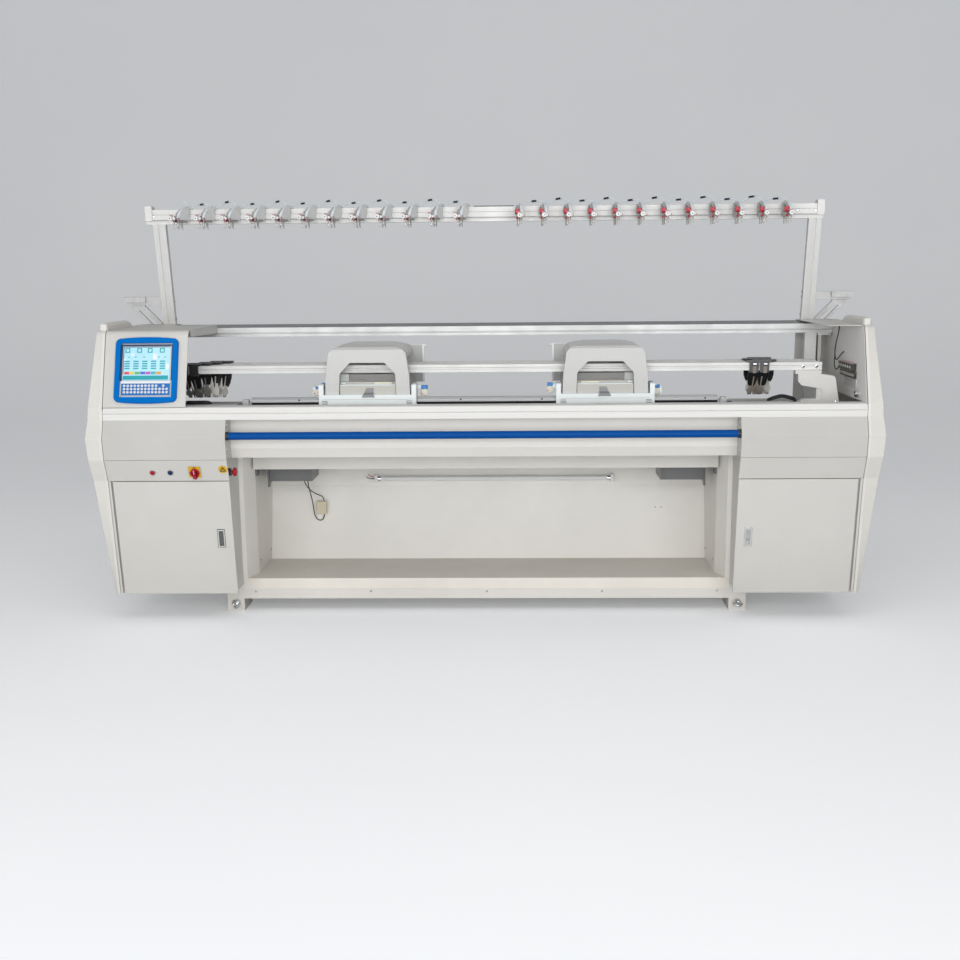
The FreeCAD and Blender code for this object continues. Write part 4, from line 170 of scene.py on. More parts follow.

# --- Painted casings ------------------------------------------------------------------
# Sheet steel in warm off-white powder coat. It has a fine orange peel, faint uneven
# patches, a painted highlight along each fold, and it grows darker towards the floor.


def effects(name, settings, made, links):
    """A node group from Color and the settings to Color, Roughness and Normal.

    Color is dimmed by "shade", and "bump" lies on the normal of the rounded folds.
    """
    group = bpy.data.node_groups.new(name, "ShaderNodeTree")
    group.interface.new_socket(name="Color", in_out="INPUT", socket_type="NodeSocketColor")
    for label, value in settings.items():
        kind = "NodeSocketVector" if label == "Run" else "NodeSocketFloat"
        group.interface.new_socket(name=label, in_out="INPUT", socket_type=kind).default_value = value
    for label, kind in (("Color", "Color"), ("Roughness", "Float"), ("Normal", "Vector")):
        group.interface.new_socket(name=label, in_out="OUTPUT", socket_type="NodeSocket" + kind)
    ends = {"enter": group.nodes.new("NodeGroupInput"), "leave": group.nodes.new("NodeGroupOutput")}
    shared = {"where": ("TexCoord", {}, {}), "fold": ("Bevel", {"samples": 3}, {}),
              "dimmed": ("Mix", {"data_type": "RGBA", "blend_type": "MULTIPLY"}, {"Factor": 1.0})}
    wired(group, {**shared, **made}, [
        "enter.Fold > fold.Radius", "fold.Normal > bump.Normal", "bump.Normal > leave.Normal",
        "enter.Color > dimmed.A", "shade.Result > dimmed.B", *links], **ends)
    return group


coat = effects("coat_effects", {"Peel": 0.12, "Patch": 0.05, "Edge": 0.25, "Fold": 0.002}, {
    "peel": ("TexNoise", {}, {"Scale": 620.0, "Detail": 2.0}),
    "patch": ("TexNoise", {}, {"Scale": 3.1, "Detail": 5.0, "Roughness": 0.62}),
    "flat": ("NewGeometry", {}, {}),
    "facing": ("VectorMath", {"operation": "DOT_PRODUCT"}, {}),
    "edge": ("MapRange", {}, {"From Min": 0.995, "From Max": 0.80}),
    "edge_share": ("Math", {"operation": "MULTIPLY"}, {}),
    "height": ("SeparateXYZ", {}, {}),
    # The colour is mixed towards a dark brown, more strongly the nearer it is to the floor.
    "grime": ("MapRange", {}, {"From Min": 0.42, "From Max": 0.0, "To Max": 0.16}),
    "patch_low": ("Math", {"operation": "SUBTRACT"}, {0: 1.0}),
    "shade": ("MapRange", {}, {"From Min": 0.3, "From Max": 0.7, "To Max": 1.0}),
    "soiled": ("Mix", {"data_type": "RGBA"}, {"B": (0.30, 0.27, 0.23, 1.0)}),
    # Painted highlight: the rounded folds are mixed towards a paler colour.
    "worn": ("Mix", {"data_type": "RGBA"}, {"B": (0.86, 0.85, 0.82, 1.0)}),
    "sheen": ("MapRange", {}, {"To Min": 0.36, "To Max": 0.56}),
    "bump": ("Bump", {}, {"Distance": 0.0004})},
    ["where.Object > peel.Vector", "where.Object > patch.Vector", "where.Object > height.Vector",
     "fold.Normal > facing.0", "flat.True Normal > facing.1", "facing.Value > edge.Value",
     "edge.Result > edge_share.0", "enter.Edge > edge_share.1", "height.Z > grime.Value",
     "enter.Patch > patch_low.1", "patch.Fac > shade.Value", "patch_low.Value > shade.To Min",
     "dimmed.Result > soiled.A", "grime.Result > soiled.Factor", "soiled.Result > worn.A",
     "edge_share.Value > worn.Factor", "patch.Fac > sheen.Value", "peel.Fac > bump.Height",
     "enter.Peel > bump.Strength", "worn.Result > leave.Color", "sheen.Result > leave.Roughness"])


def coated(name, colour, group="coat_effects", metallic=0.0, on="", **settings):
    """A material driven by a shared effect group; "on" lists the CAD nodes that take it."""
    material = bpy.data.materials.new(name)
    material.use_nodes = True
    shader = material.node_tree.nodes["Principled BSDF"]
    shader.inputs["Metallic"].default_value = metallic
    effect = ("Group", {"node_tree": bpy.data.node_groups[group]}, {"Color": (*colour, 1.0), **settings})
    wired(material.node_tree, {"effect": effect}, [
        "effect.Color > shader.Base Color", "effect.Roughness > shader.Roughness",
        "effect.Normal > shader.Normal"], shader=shader)
    for label in on.split():
        nodes[label].data.materials.clear()
        nodes[label].data.materials.append(material)
    return material


def two_toned(material, outer, inner, tests):
    """Base colour by facing: outer, or inner where any test of the normal's axis holds."""
    tree = material.node_tree
    made = wired(tree, {
        "facing": ("NewGeometry", {}, {}),
        "split": ("SeparateXYZ", {}, {}),
        "tone": ("Mix", {"data_type": "RGBA"}, {"A": (*outer, 1.0), "B": (*inner, 1.0)})},
        ["facing.True Normal > split.Vector", "tone.Result > effect.Color"], effect=tree.nodes["effect"])
    mask = None
    for axis, operation, limit in tests:
        test = {"test": ("Math", {"operation": operation}, {1: limit})}
        found = wired(tree, test, ["split.%s > test.0" % axis], split=made["split"])["test"]
        if mask is not None:
            either = {"either": ("Math", {"operation": "MAXIMUM"}, {})}
            found = wired(tree, either, ["mask.Value > either.0", "found.Value > either.1"],
                          mask=mask, found=found)["either"]
        mask = found
    wired(tree, {}, ["mask.Value > tone.Factor"], mask=mask, tone=made["tone"])


casing_paint = coated("casing_paint", (0.610, 0.598, 0.565), on="left_cabinet right_cabinet left_door "
                      "right_door left_upper_casing plug_blocks")
# These copies of the one coat differ in lightness as painted light and shade: the aprons' darker tone is
# painted shade, and the lighter panels, frame, legs, back panel and shelf are painted light.
coated("apron_paint", (0.540, 0.530, 0.505), on="aprons")
coated("panel_paint", (0.720, 0.700, 0.655), on="front_panels end_panels")
coated("frame_paint", (0.750, 0.725, 0.680), on="base_frame", Patch=0.08)
coated("leg_paint", (0.860, 0.835, 0.785), on="leg_panels", Patch=0.08)
coated("back_panel_paint", (0.870, 0.850, 0.805), on="back_panel", Patch=0.07)
coated("shelf_paint", (0.840, 0.800, 0.730), on="shelf", Patch=0.12)

# --- Open right casing ----------------------------------------------------------------
# Outside it is the same coat; the faces that look into the hood are painted paler, as painted light in the
# hood's shaded inside.
hood_outside, hood_inside_painted_light = (0.650, 0.637, 0.603), (0.860, 0.845, 0.820)
hood_paint = coated("right_hood_paint", hood_outside, on="right_upper_casing")
two_toned(hood_paint, hood_outside, hood_inside_painted_light, [("X", "LESS_THAN", -0.5), ("Z", "LESS_THAN", -0.6)])

# --- Extrusions and bare metal --------------------------------------------------------
# Anodised aluminium drawn along the machine: fine streaks that run with X, a satin shine
# and small dull spots. The same effect, darker, serves the ground steel of the beds.
effects("drawn_metal", {"Streak": 0.10, "Rough": 0.34, "Groove": 0.12, "Fold": 0.0012,
                        "Run": (2.0, 700.0, 700.0)}, {
    "along": ("VectorMath", {"operation": "MULTIPLY"}, {}),
    "lines": ("TexNoise", {}, {"Scale": 1.0, "Detail": 4.0}),
    "spots": ("TexNoise", {}, {"Scale": 14.0, "Detail": 5.0}),
    "low": ("Math", {"operation": "SUBTRACT"}, {0: 1.0}),
    "shade": ("MapRange", {}, {"From Min": 0.3, "From Max": 0.7}),
    "dull": ("MapRange", {}, {"From Min": 0.35, "From Max": 0.75, "To Min": -0.05, "To Max": 0.10}),
    "rough": ("Math", {"operation": "ADD"}, {}),
    "bump": ("Bump", {}, {"Distance": 0.0003})},
    ["where.Object > along.0", "enter.Run > along.1", "along.Vector > lines.Vector",
     "where.Object > spots.Vector", "enter.Streak > low.1", "low.Value > shade.To Min",
     "lines.Fac > shade.Value", "spots.Fac > dull.Value", "dull.Result > rough.0",
     "enter.Rough > rough.1", "lines.Fac > bump.Height", "enter.Groove > bump.Strength",
     "dimmed.Result > leave.Color", "rough.Value > leave.Roughness"])


def bare_metal(name, colour, metallic, rough=0.34, run=(2.0, 700.0, 700.0), on="", **settings):
    """Drawn or ground metal; run scales the streaks' pattern along X, Y and Z."""
    return coated(name, colour, "drawn_metal", metallic, on, Rough=rough, Run=run, **settings)


bright_aluminium = bare_metal("bright_aluminium", (0.68, 0.68, 0.665), 0.25, 0.46, on="yarn_rails")
bare_metal("ledge_aluminium", (0.77, 0.76, 0.737), 0.10, 0.5, on="ledge")
# The table's upward faces take a much darker colour than its sides: painted shade.
table_side, table_top_shade = (0.66, 0.665, 0.66), (0.30, 0.305, 0.310)
table_aluminium = bare_metal("table_aluminium", table_side, 0.30, 0.44, on="yarn_table")
two_toned(table_aluminium, table_side, table_top_shade, [("Z", "GREATER_THAN", 0.8)])
bare_metal("post_aluminium", (0.70, 0.695, 0.68), 0.20, 0.48, (700.0, 60.0, 2.0), on="yarn_stand")
bare_metal("arm_aluminium", (0.50, 0.50, 0.495), 0.30, 0.48, (60.0, 700.0, 2.0), on="side_arms")
coated("bracket_cast", (0.70, 0.69, 0.665), on="rail_brackets", Peel=0.5, Patch=0.08)
bare_metal("rail_steel", (0.46, 0.47, 0.475), 0.6, 0.38, on="guide_rails")
bare_metal("beam_steel", (0.22, 0.225, 0.235), 0.4, 0.5, on="bed_beams")
bare_metal("bed_steel", (0.40, 0.41, 0.42), 0.9, 0.30, (550.0, 2.0, 2.0), on="needle_beds",
           Groove=0.5, Streak=0.45)
bare_metal("needle_steel", (0.62, 0.62, 0.62), 1.0, 0.22, (2.0, 30.0, 30.0), on="needles")
chrome = bare_metal("chrome", (0.72, 0.73, 0.74), 1.0, 0.12, (40.0, 40.0, 40.0),
                    on="control_rings right_latch", Streak=0.04, Groove=0.02)
dark_latch = bare_metal("dark_latch", (0.16, 0.165, 0.17), 0.7, 0.35, (40.0, 40.0, 40.0), on="left_latch")
bare_metal("pulley_metal", (0.45, 0.45, 0.46), 1.0, run=(60.0, 60.0, 700.0), on="left_pulley right_pulley")
bare_metal("brush_black", (0.012, 0.012, 0.013), 0.0, 0.8, (1400.0, 30.0, 8.0), on="brush_strip",
           Groove=1.0, Streak=0.7)

# --- Mouldings ------------------------------------------------------------------------
# Injection-moulded plastic: the coat's effects with a smoother, evener sheen, no darkening
# towards the floor and no painted edge highlight unless a part asks for them.
moulded = coat.copy()
moulded.name = "moulded_effects"
moulded.interface.items_tree["Edge"].default_value = 0.0
moulded.nodes["sheen"].inputs["To Min"].default_value = 0.24
moulded.nodes["sheen"].inputs["To Max"].default_value = 0.36
moulded.nodes["grime"].inputs["To Max"].default_value = 0.0


def plastic(name, colour, peel=0.1, on="", **settings):
    """Moulded plastic of one colour, with the depth of its skin's grain."""
    return coated(name, colour, "moulded_effects", on=on, Peel=peel, **settings)


carriers = " ".join("%s_carrier_%d" % (side, k) for side in ("left", "right") for k in (1, 2, 3, 4))
for on, label, colour, peel_depth, shine in (
        ("control_bezel", "bezel_blue", (0.0005, 0.150, 0.510), 0.25, 0.04),
        ("start_bar", "bar_blue", (0.0005, 0.070, 0.300), 0.05, 0.08),
        ("red_button stop_button", "signal_red", (0.380, 0.010, 0.028), 0.15, 0.25),
        ("main_switch", "switch_red", (0.380, 0.010, 0.030), 0.15, 0.3),
        ("blue_button", "button_blue", (0.014, 0.036, 0.095), 0.15, 0.25),
        ("left_arch right_arch", "arch_grey", (0.560, 0.560, 0.540), 0.12, 0.4),
        ("left_cams right_cams", "tray_white", (0.850, 0.900, 0.905), 0.12, 0.4),
        ("connector", "connector_ivory", (0.640, 0.580, 0.420), 0.2, 0.4),
        ("tension_covers", "cover_grey", (0.560, 0.575, 0.590), 0.2, 0.4),
        ("tension_units", "unit_metal", (0.420, 0.415, 0.405), 0.2, 0.5),
        ("bar_bushes", "bush_black", (0.020, 0.020, 0.022), 0.2, 0.4),
        ("display_panel", "panel_silver", (0.560, 0.570, 0.580), 0.1, 0.4)):
    skin = plastic(label, colour, peel_depth, on, Edge=0.015, Patch=0.06)
    skin.node_tree.nodes["Principled BSDF"].inputs["Specular IOR Level"].default_value = shine
# The carriers take a strong painted highlight along their folds.
plastic("carrier_black", (0.022, 0.022, 0.024), 0.4, carriers, Edge=0.3)
plastic("roller_rubber", (0.030, 0.030, 0.032), 0.8, "takedown_roller")
plastic("housing_grey", (0.130, 0.132, 0.135), 0.5, "takedown_housings")
plastic("belt_black", (0.018, 0.018, 0.019), 0.8, "belt_drive")
plastic("lamp_glass", (0.80, 0.81, 0.80), 0.02, "lamp")

# --- Small parts: how they are shaped --------------------------------------------------
# Three forms serve every small rigid piece: rows of blocks, turned parts on one axis, and
# plates cut to an outline. Each is built in its own frame and then set in place; a basis
# gives the directions that the part's own X, Y and Z take on the machine.


def blocks(rows):
    """Boxes: each row x0, x1, y0, y1, z0, z1 gives eight corners and six outward faces."""
    rows = np.atleast_2d(np.array(rows, float))
    low, high = rows[:, 0::2], rows[:, 1::2]
    unit = np.array([(i, j, k) for k in (0, 1) for j in (0, 1) for i in (0, 1)], float)
    points = (low[:, None] + unit[None] * (high - low)[:, None]).reshape(-1, 3)
    sides = np.array([(0, 2, 3, 1), (4, 5, 7, 6), (0, 1, 5, 4), (2, 6, 7, 3), (0, 4, 6, 2), (1, 3, 7, 5)])
    return points, (sides[None] + 8 * np.arange(len(rows))[:, None, None]).reshape(-1, 4).tolist()


def turned(centres, profile, sides=24):
    """Turned parts: the profile's (radius, height) rings stand round each centre on local Z."""
    centres, profile = np.atleast_2d(np.array(centres, float)), np.array(profile, float)
    angle = np.linspace(0.0, 2 * math.pi, sides, endpoint=False)
    ring = np.c_[np.cos(angle), np.sin(angle)]
    one = np.concatenate([np.c_[ring * r, np.full(sides, z)] for r, z in profile])
    step = np.arange(sides)
    after = (step + 1) % sides
    walls = np.concatenate([np.c_[k * sides + step, k * sides + after, (k + 1) * sides + after,
                                  (k + 1) * sides + step] for k in range(len(profile) - 1)])
    points = (centres[:, None] + one[None]).reshape(-1, 3)
    faces = []
    for k in range(len(centres)):
        first = k * len(one)
        faces += (walls + first).tolist()
        faces += [(step[::-1] + first).tolist(), (step + first + len(one) - sides).tolist()]
    return points, faces


def plate(outline, low, high):
    """A flat plate: a counter-clockwise outline in local XY, from height low to high."""
    outline = np.array(outline, float)
    n = len(outline)
    points = np.concatenate([np.c_[outline, np.full(n, low)], np.c_[outline, np.full(n, high)]])
    step = np.arange(n)
    after = (step + 1) % n
    walls = np.c_[step, after, after + n, step + n].tolist()
    return points, [step[::-1].tolist(), (step + n).tolist()] + walls


def joined(*parts):
    """Several (points, faces) pairs as one."""
    points, faces, first = [], [], 0
    for p, f in parts:
        points.append(p)
        faces += [[i + first for i in q] for q in f]
        first += len(p)
    return np.concatenate(points), faces


def repeated(part, basis, places):
    """One part turned by the basis rows and set down at every place."""
    points, faces = part
    return [(points @ np.array(basis, float) + place, faces) for place in places]


along_x = [(0.0, 1.0, 0.0), (0.0, 0.0, 1.0), (1.0, 0.0, 0.0)]
against_x = [(0.0, 1.0, 0.0), (0.0, 0.0, -1.0), (-1.0, 0.0, 0.0)]
to_front = [(1.0, 0.0, 0.0), (0.0, 0.0, 1.0), (0.0, -1.0, 0.0)]
origin = (0.0, 0.0, 0.0)
fold_angle = 0.6


def piece(name, parts, material, basis=None, at=origin, body="machine", bevel=0.0, smooth=False):
    """One scene piece: local points turned by the basis rows, moved to its place, beveled."""
    points, faces = joined(*parts)
    if basis is not None:
        points = points @ np.array(basis, float)
    mesh = bpy.data.meshes.new(name)
    mesh.from_pydata((points + np.array(at, float)).tolist(), [], faces)
    mesh.polygons.foreach_set("use_smooth", [bool(smooth)] * len(faces))
    mesh.materials.append(material)
    made = bpy.data.objects.new(name, mesh)
    scene.collection.objects.link(made)
    if bevel:
        soften = made.modifiers.new("bevel", "BEVEL")
        soften.width, soften.segments, soften.limit_method = bevel, 2, "ANGLE"
        soften.angle_limit = fold_angle
    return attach(made, body)


def boxes(name, rows, material, basis=None, at=origin, body="machine", bevel=0.0):
    """One scene piece made of boxes alone."""
    return piece(name, [blocks(rows)], material, basis, at, body, bevel)


# --- Control panel --------------------------------------------------------------------
# On the sloping panel: the lit screen in its silver frame with blocks of colour for what
# it shows, a white strip below it, and the blue keyboard ground with its round keys.
panel_at = (-1.507, -0.3654, 1.1710)
panel_rise = np.array((0.0, 128.0, 325.0)) / math.hypot(128.0, 325.0)
on_panel = [(1.0, 0.0, 0.0), panel_rise, (0.0, -panel_rise[2], panel_rise[1])]
glass_z, ink_z, keypad_z = 0.0052, 0.0055, 0.0066


def flat_on_panel(name, rows, low, high, material, bevel=0.0):
    """Flat blocks on the panel: each row x0, x1, y0, y1 stands from height low to high."""
    return boxes(name, [(*row, low, high) for row in rows], material, on_panel, panel_at, bevel=bevel)


screen_light = (0.420, 0.720, 0.880)
screen_glass = plastic("screen_glass", screen_light, 0.0, Patch=0.10)
shader = screen_glass.node_tree.nodes["Principled BSDF"]
shader.inputs["Emission Color"].default_value = (*screen_light, 1.0)
shader.inputs["Emission Strength"].default_value = 0.12
shader.inputs["Coat Weight"].default_value = 0.4
flat_on_panel("screen_picture", [(-0.1059, 0.1059, -0.0251, 0.1099)], 0.0040, glass_z, screen_glass)
digits = [(x + left, x + right, low, high) for x in (-0.087, -0.034, 0.014, 0.069)
          for left, right, low, high in ((-0.011, 0.011, 0.1000, 0.1045), (-0.011, 0.011, 0.0820, 0.0865),
                                         (-0.011, -0.0062, 0.0865, 0.1000), (0.0062, 0.011, 0.0865, 0.1000))]
figures = [(x - 0.012, x + 0.012, y - 0.003, y + 0.003) for x in (-0.088, -0.048, -0.008, 0.032, 0.072)
           for y in (0.0420, 0.0310, 0.0200, 0.0090)]
marks = [(x - 0.004, x + 0.004, 0.0600, 0.0640) for x in (-0.080, -0.050, -0.012, 0.055, 0.083)]
flat_on_panel("screen_figures", digits + figures + marks, glass_z, ink_z,
              plastic("screen_teal", (0.015, 0.400, 0.420), 0.0))
flat_on_panel("screen_foot_bar", [(-0.104, 0.100, -0.0440, -0.0250)], 0.0070, 0.0073,
              plastic("screen_deep_teal", (0.015, 0.350, 0.400), 0.0))
flat_on_panel("screen_glare", [(-0.070, -0.058, 0.068, 0.079), (0.028, 0.046, 0.050, 0.078),
                               (-0.104, -0.094, 0.044, 0.056), (0.088, 0.102, 0.004, 0.030)],
              glass_z, 0.0054, plastic("screen_glare", (0.80, 0.88, 0.92), 0.0))
# Flat dark blue strips stand for the bezel's inner walls at the glass's left and top edges: painted shade.
wall_shade = plastic("screen_wall_shade", (0.010, 0.040, 0.120))
flat_on_panel("screen_wall", [(-0.1059, -0.1035, -0.0251, 0.1099), (-0.1035, 0.1059, 0.1075, 0.1099)],
              glass_z, 0.0064, wall_shade)
for k, tint in enumerate(((0.75, 0.10, 0.12), (0.80, 0.62, 0.10), (0.12, 0.50, 0.16), (0.10, 0.16, 0.60),
                          (0.55, 0.12, 0.50), (0.08, 0.45, 0.55), (0.80, 0.36, 0.08))):
    patch = "screen_patch_%d" % (k + 1)
    flat_on_panel(patch, [(-0.099 + 0.024 * k, -0.077 + 0.024 * k, -0.0185, -0.0060)], glass_z, ink_z,
                  plastic(patch, tint, 0.0))
flat_on_panel("screen_foot", [(-0.1059, 0.1059, -0.0480, -0.0200)], 0.0061, 0.0070, screen_glass)
# More strips of the same painted shade line the bezel's opening on the left, top and right.
flat_on_panel("inner_bezel", [(-0.1165, -0.1085, -0.0480, 0.1200), (-0.1085, 0.1165, 0.1120, 0.1200),
                              (0.1120, 0.1165, -0.0480, 0.1120)], 0.0061, 0.0072, wall_shade)
flat_on_panel("key_ground", [(-0.1095, 0.1095, -0.1155, -0.0500)], 0.0060, keypad_z,
              plastic("key_ground_blue", (0.010, 0.150, 0.470), 0.2))
key_pitch = 0.0160
keys = [(-0.096 + key_pitch * i, y, keypad_z) for y in (-0.0720, -0.0870, -0.1020) for i in range(13)
        if y < -0.08 or i < 10 or i == 11]
key_rings = [(0.0062, 0.0), (0.0060, 0.0016), (0.0048, 0.0026), (0.0020, 0.0029)]
piece("panel_keys", [turned(keys, key_rings, 16)], plastic("key_white", (0.760, 0.770, 0.780), 0.15),
      on_panel, panel_at, smooth=True)
flat_on_panel("key_legends", [(x - 0.0022, x + 0.0022, y - 0.0006, y + 0.0006) for x, y, z in keys],
              keypad_z + 0.0027, keypad_z + 0.0031, plastic("legend_grey", (0.10, 0.12, 0.16), 0.0))
flat_on_panel("panel_strip", [(-0.1120, 0.1120, -0.0615, -0.0500)], 0.0067, 0.0078,
              plastic("strip_white", (0.780, 0.790, 0.800)), bevel=0.0004)
screws = [(x, y, 0.0040) for x in (-0.1115, 0.1115) for y in (-0.0475, 0.1215, -0.1210)]
piece("panel_screws", [turned(screws, [(0.0028, 0.0), (0.0028, 0.0010), (0.0020, 0.0016)], 14)],
      chrome, on_panel, panel_at)

# --- Controls on the strip ------------------------------------------------------------
# Under the left apron: a yellow plate behind the red main switch with its position marks
# and skirt, a round yellow warning label with a black triangle, and the stop knob's collar.
strip_tilt = np.array((45.0, 100.0)) / math.hypot(45.0, 100.0)
on_strip = [(1.0, 0.0, 0.0), (0.0, -strip_tilt[0], strip_tilt[1]), (0.0, -strip_tilt[1], -strip_tilt[0])]
label_yellow = plastic("label_yellow", (0.700, 0.410, 0.008))
label_black = plastic("label_black", (0.020, 0.020, 0.022))
switch_at = (-1.296, -0.4339, 0.720)
plate_z = 0.0034
boxes("switch_label", (-0.0285, 0.0262, -0.0255, 0.0310, 0.0030, plate_z), label_yellow, on_strip, switch_at)
marks = [(-0.0050, 0.0030, 0.0265, 0.0290), (-0.0045, 0.0035, -0.0240, -0.0220),
         (-0.0270, -0.0250, -0.0045, 0.0045)]
boxes("switch_marks", [(*mark, plate_z, 0.0036) for mark in marks], label_black, on_strip, switch_at)
boxes("switch_knob_groove", (-0.0012, 0.0012, 0.004, 0.024, 0.0240, 0.0243),
      plastic("mark_white", (0.75, 0.75, 0.75), 0.0), on_strip, switch_at, "main_switch")
skirt_rings = [(0.0200, 0.0045), (0.0215, 0.0060), (0.0215, 0.0095), (0.0185, 0.0120)]
piece("switch_skirt", [turned(origin, skirt_rings, 8)], bpy.data.materials["signal_red"],
      on_strip, switch_at, body="main_switch", bevel=0.0015)
warning_at = (-1.1685, -0.4399, 0.7334)
piece("warning_label", [turned((0.0, 0.0, 0.0002), [(0.0205, 0.0), (0.0205, 0.0005)], 48)],
      label_yellow, on_strip, warning_at)
ink_low, ink_high, half_stroke = 0.0007, 0.0009, 0.0021
corners = [(0.0145 * math.cos(a), 0.0145 * math.sin(a) - 0.002) for a in
           (math.pi / 2, math.pi * 7 / 6, math.pi * 11 / 6)]
bars = []
for (x0, y0), (x1, y1) in zip(corners, corners[1:] + corners[:1]):
    way = np.array((x1 - x0, y1 - y0)) / math.hypot(x1 - x0, y1 - y0)
    edge = np.array((-way[1], way[0])) * half_stroke
    bars.append(plate([(x0 + edge[0], y0 + edge[1]), (x0 - edge[0], y0 - edge[1]),
                       (x1 - edge[0], y1 - edge[1]), (x1 + edge[0], y1 + edge[1])], ink_low, ink_high))
bolt_outline = [(0.0020, 0.006), (-0.0036, -0.001), (0.0, -0.001), (-0.0016, -0.0075), (0.0044, 0.0012),
                (0.0008, 0.0012)]
piece("warning_shapes", bars + [plate(bolt_outline, ink_low, ink_high)], label_black, on_strip, warning_at)
collar_rings = [(0.0172, 0.001), (0.0172, 0.006), (0.0180, 0.007), (0.0180, 0.013), (0.0172, 0.014),
                (0.0172, 0.0198)]
piece("stop_collar", [turned(origin, collar_rings, 36)], label_black, along_x,
      (-1.163, -0.372, 0.712))
screw_rings = [(0.0075, 0.0), (0.0075, 0.0018), (0.0055, 0.0034), (0.0020, 0.0038)]
screws = turned([(-0.430, 0.935, 0.0), (-0.420, 0.820, 0.0)], screw_rings, 20)
piece("left_apron_screws", [screws], chrome, along_x, (-1.146, 0.0, 0.0))
piece("right_apron_screws", [screws], chrome, against_x, (1.146, 0.0, 1.755))

# --- Carriages ------------------------------------------------------------------------
# Each carriage has, in the arch's window, a grey and a dark inner bar, a beige cover with
# its folded metal tab, a white block and a cream bar; the tray has three vents at each
# end, drawn as dark slots of painted shade, a grey line of painted shade along its fold,
# and at both sides a cream sensor wheel that hangs under a blue cap. The right carriage
# is the left one mirrored.
inner_grey = plastic("carriage_inner_grey", (0.420, 0.430, 0.430), 0.3)
cover_beige = coated("carriage_cover", (0.520, 0.505, 0.465), Peel=0.3)
tab_metal = bare_metal("carriage_tab", (0.270, 0.275, 0.285), 0.2, 0.5, (500.0, 20.0, 20.0))
cream = plastic("carriage_cream", (0.720, 0.690, 0.580), 0.2)
cap_blue = plastic("sensor_cap_blue", (0.010, 0.200, 0.580), 0.2)
sensor_red = plastic("sensor_red", (0.450, 0.020, 0.040))
inner_dark = plastic("carriage_inner_dark", (0.180, 0.175, 0.165), 0.4)
vent_shade = plastic("vent_shade", (0.090, 0.100, 0.110), 0.2)
plate_grey = coated("rear_plate_grey", (0.520, 0.520, 0.500), Peel=0.3)
vents = [(x - 0.013, x + 0.013, -0.2168, -0.2158, z, z + 0.0022)
         for x in (-0.198, 0.192) for z in (1.0005, 1.0070, 1.0135)]
wheel_rings = [(0.0165, 0.0), (0.0175, 0.0010), (0.0175, 0.0050), (0.0150, 0.0068), (0.0060, 0.0072)]
tab_thick = 0.0014
tab_bends = np.array([(0.011, 0.016, -0.1990, 1.0735), (0.006, 0.021, -0.1990, 1.0520),
                      (0.004, 0.024, -0.2172, 1.0440), (0.004, 0.031, -0.2172, 1.0315)])
for tag, centre, way, wheels, caps in (
        ("left", -0.532, 1.0, ((0.2576, 1.0450), (-0.2440, 1.0480)),
         ((0.2410, 0.2720, 1.0610, 1.0780), (-0.2520, -0.2360, 1.0645, 1.0745))),
        ("right", 0.560, -1.0, ((-0.2500, 1.0555), (0.2400, 1.0420)),
         ((-0.2640, -0.2380, 1.0720, 1.0865), (0.2290, 0.2560, 1.0604, 1.0750)))):
    body = tag + "_carriage"
    spot = (centre, 0.0, 0.0)

    def across(rows):
        """Rows of x0, x1 … given for the left carriage, mirrored for the right one."""
        return [(min(a * way, b * way), max(a * way, b * way), *rest) for a, b, *rest in rows]

    def bar(label, material, bevel, *rows):
        """One piece of the carriage made of boxes alone."""
        boxes(tag + label, across(rows), material, None, spot, body, bevel)

    bar("_inner_bar", inner_dark, 0.001, (-0.089, 0.150, -0.1500, -0.1420, 1.0985, 1.1330),
        (-0.070, -0.010, -0.1540, -0.1500, 1.0985, 1.1080))
    bar("_inner_block", inner_grey, 0.002, (-0.150, -0.0895, -0.1520, -0.1400, 1.0985, 1.1340))
    bar("_inner_strip", cover_beige, 0.001, (-0.150, 0.150, -0.1560, -0.1420, 1.0860, 1.0982))
    bar("_white_block", bpy.data.materials["tray_white"], 0.001,
        (-0.1280, -0.1060, -0.1620, -0.1562, 1.0895, 1.0965))
    bar("_cream_bar", cream, 0.0015, (0.0270, 0.1100, -0.1640, -0.1564, 1.0870, 1.0975))
    bar("_front_cover", cover_beige, 0.0008, (-0.1290, 0.1290, -0.1985, -0.1962, 1.0450, 1.0835))
    middle, half, y, z = tab_bends.T
    middle = middle * way
    skin = np.stack([np.c_[middle - half, y, z], np.c_[middle + half, y, z],
                     np.c_[middle + half, y - tab_thick, z], np.c_[middle - half, y - tab_thick, z]], 1)
    walls = [[4 * k + i, 4 * k + (i + 1) % 4, 4 * k + 4 + (i + 1) % 4, 4 * k + 4 + i]
             for k in range(3) for i in range(4)]
    piece(tag + "_cover_tab", [(skin.reshape(-1, 3), walls + [[3, 2, 1, 0], [12, 13, 14, 15]])], tab_metal,
          at=spot, body=body)
    # The vents are dark slots of painted shade.
    bar("_tray_vents", vent_shade, 0.0, *vents)
    # A grey line of painted shade marks the tray's fold.
    bar("_tray_fold", inner_grey, 0.0, (-0.2030, 0.2030, -0.2166, -0.2156, 1.0215, 1.0225))
    piece(tag + "_sensor_wheels", [turned([(x, z, 0.1325) for x, z in wheels], wheel_rings, 32)],
          cream, to_front, spot, body)
    cap_rows = [(*cap[:2], -0.1340, -0.1060, *cap[2:]) for cap in caps]
    small_cap = across([(-0.2160, -0.2040, -0.1560, -0.1400, 1.0860, 1.0945)])
    boxes(tag + "_sensor_caps", cap_rows + small_cap, cap_blue, None, spot, body, 0.003)
    mark_places = [(x - 0.012, z - 0.004, 0.1392) for x, z in wheels]
    piece(tag + "_sensor_marks", [turned(mark_places, [(0.0030, 0.0), (0.0026, 0.0012)], 16)],
          sensor_red, to_front, spot, body)
    bar("_plate_face", plate_grey, 0.0008, (0.1500, 0.2260, 0.2030, 0.2048, 1.0700, 1.2480))

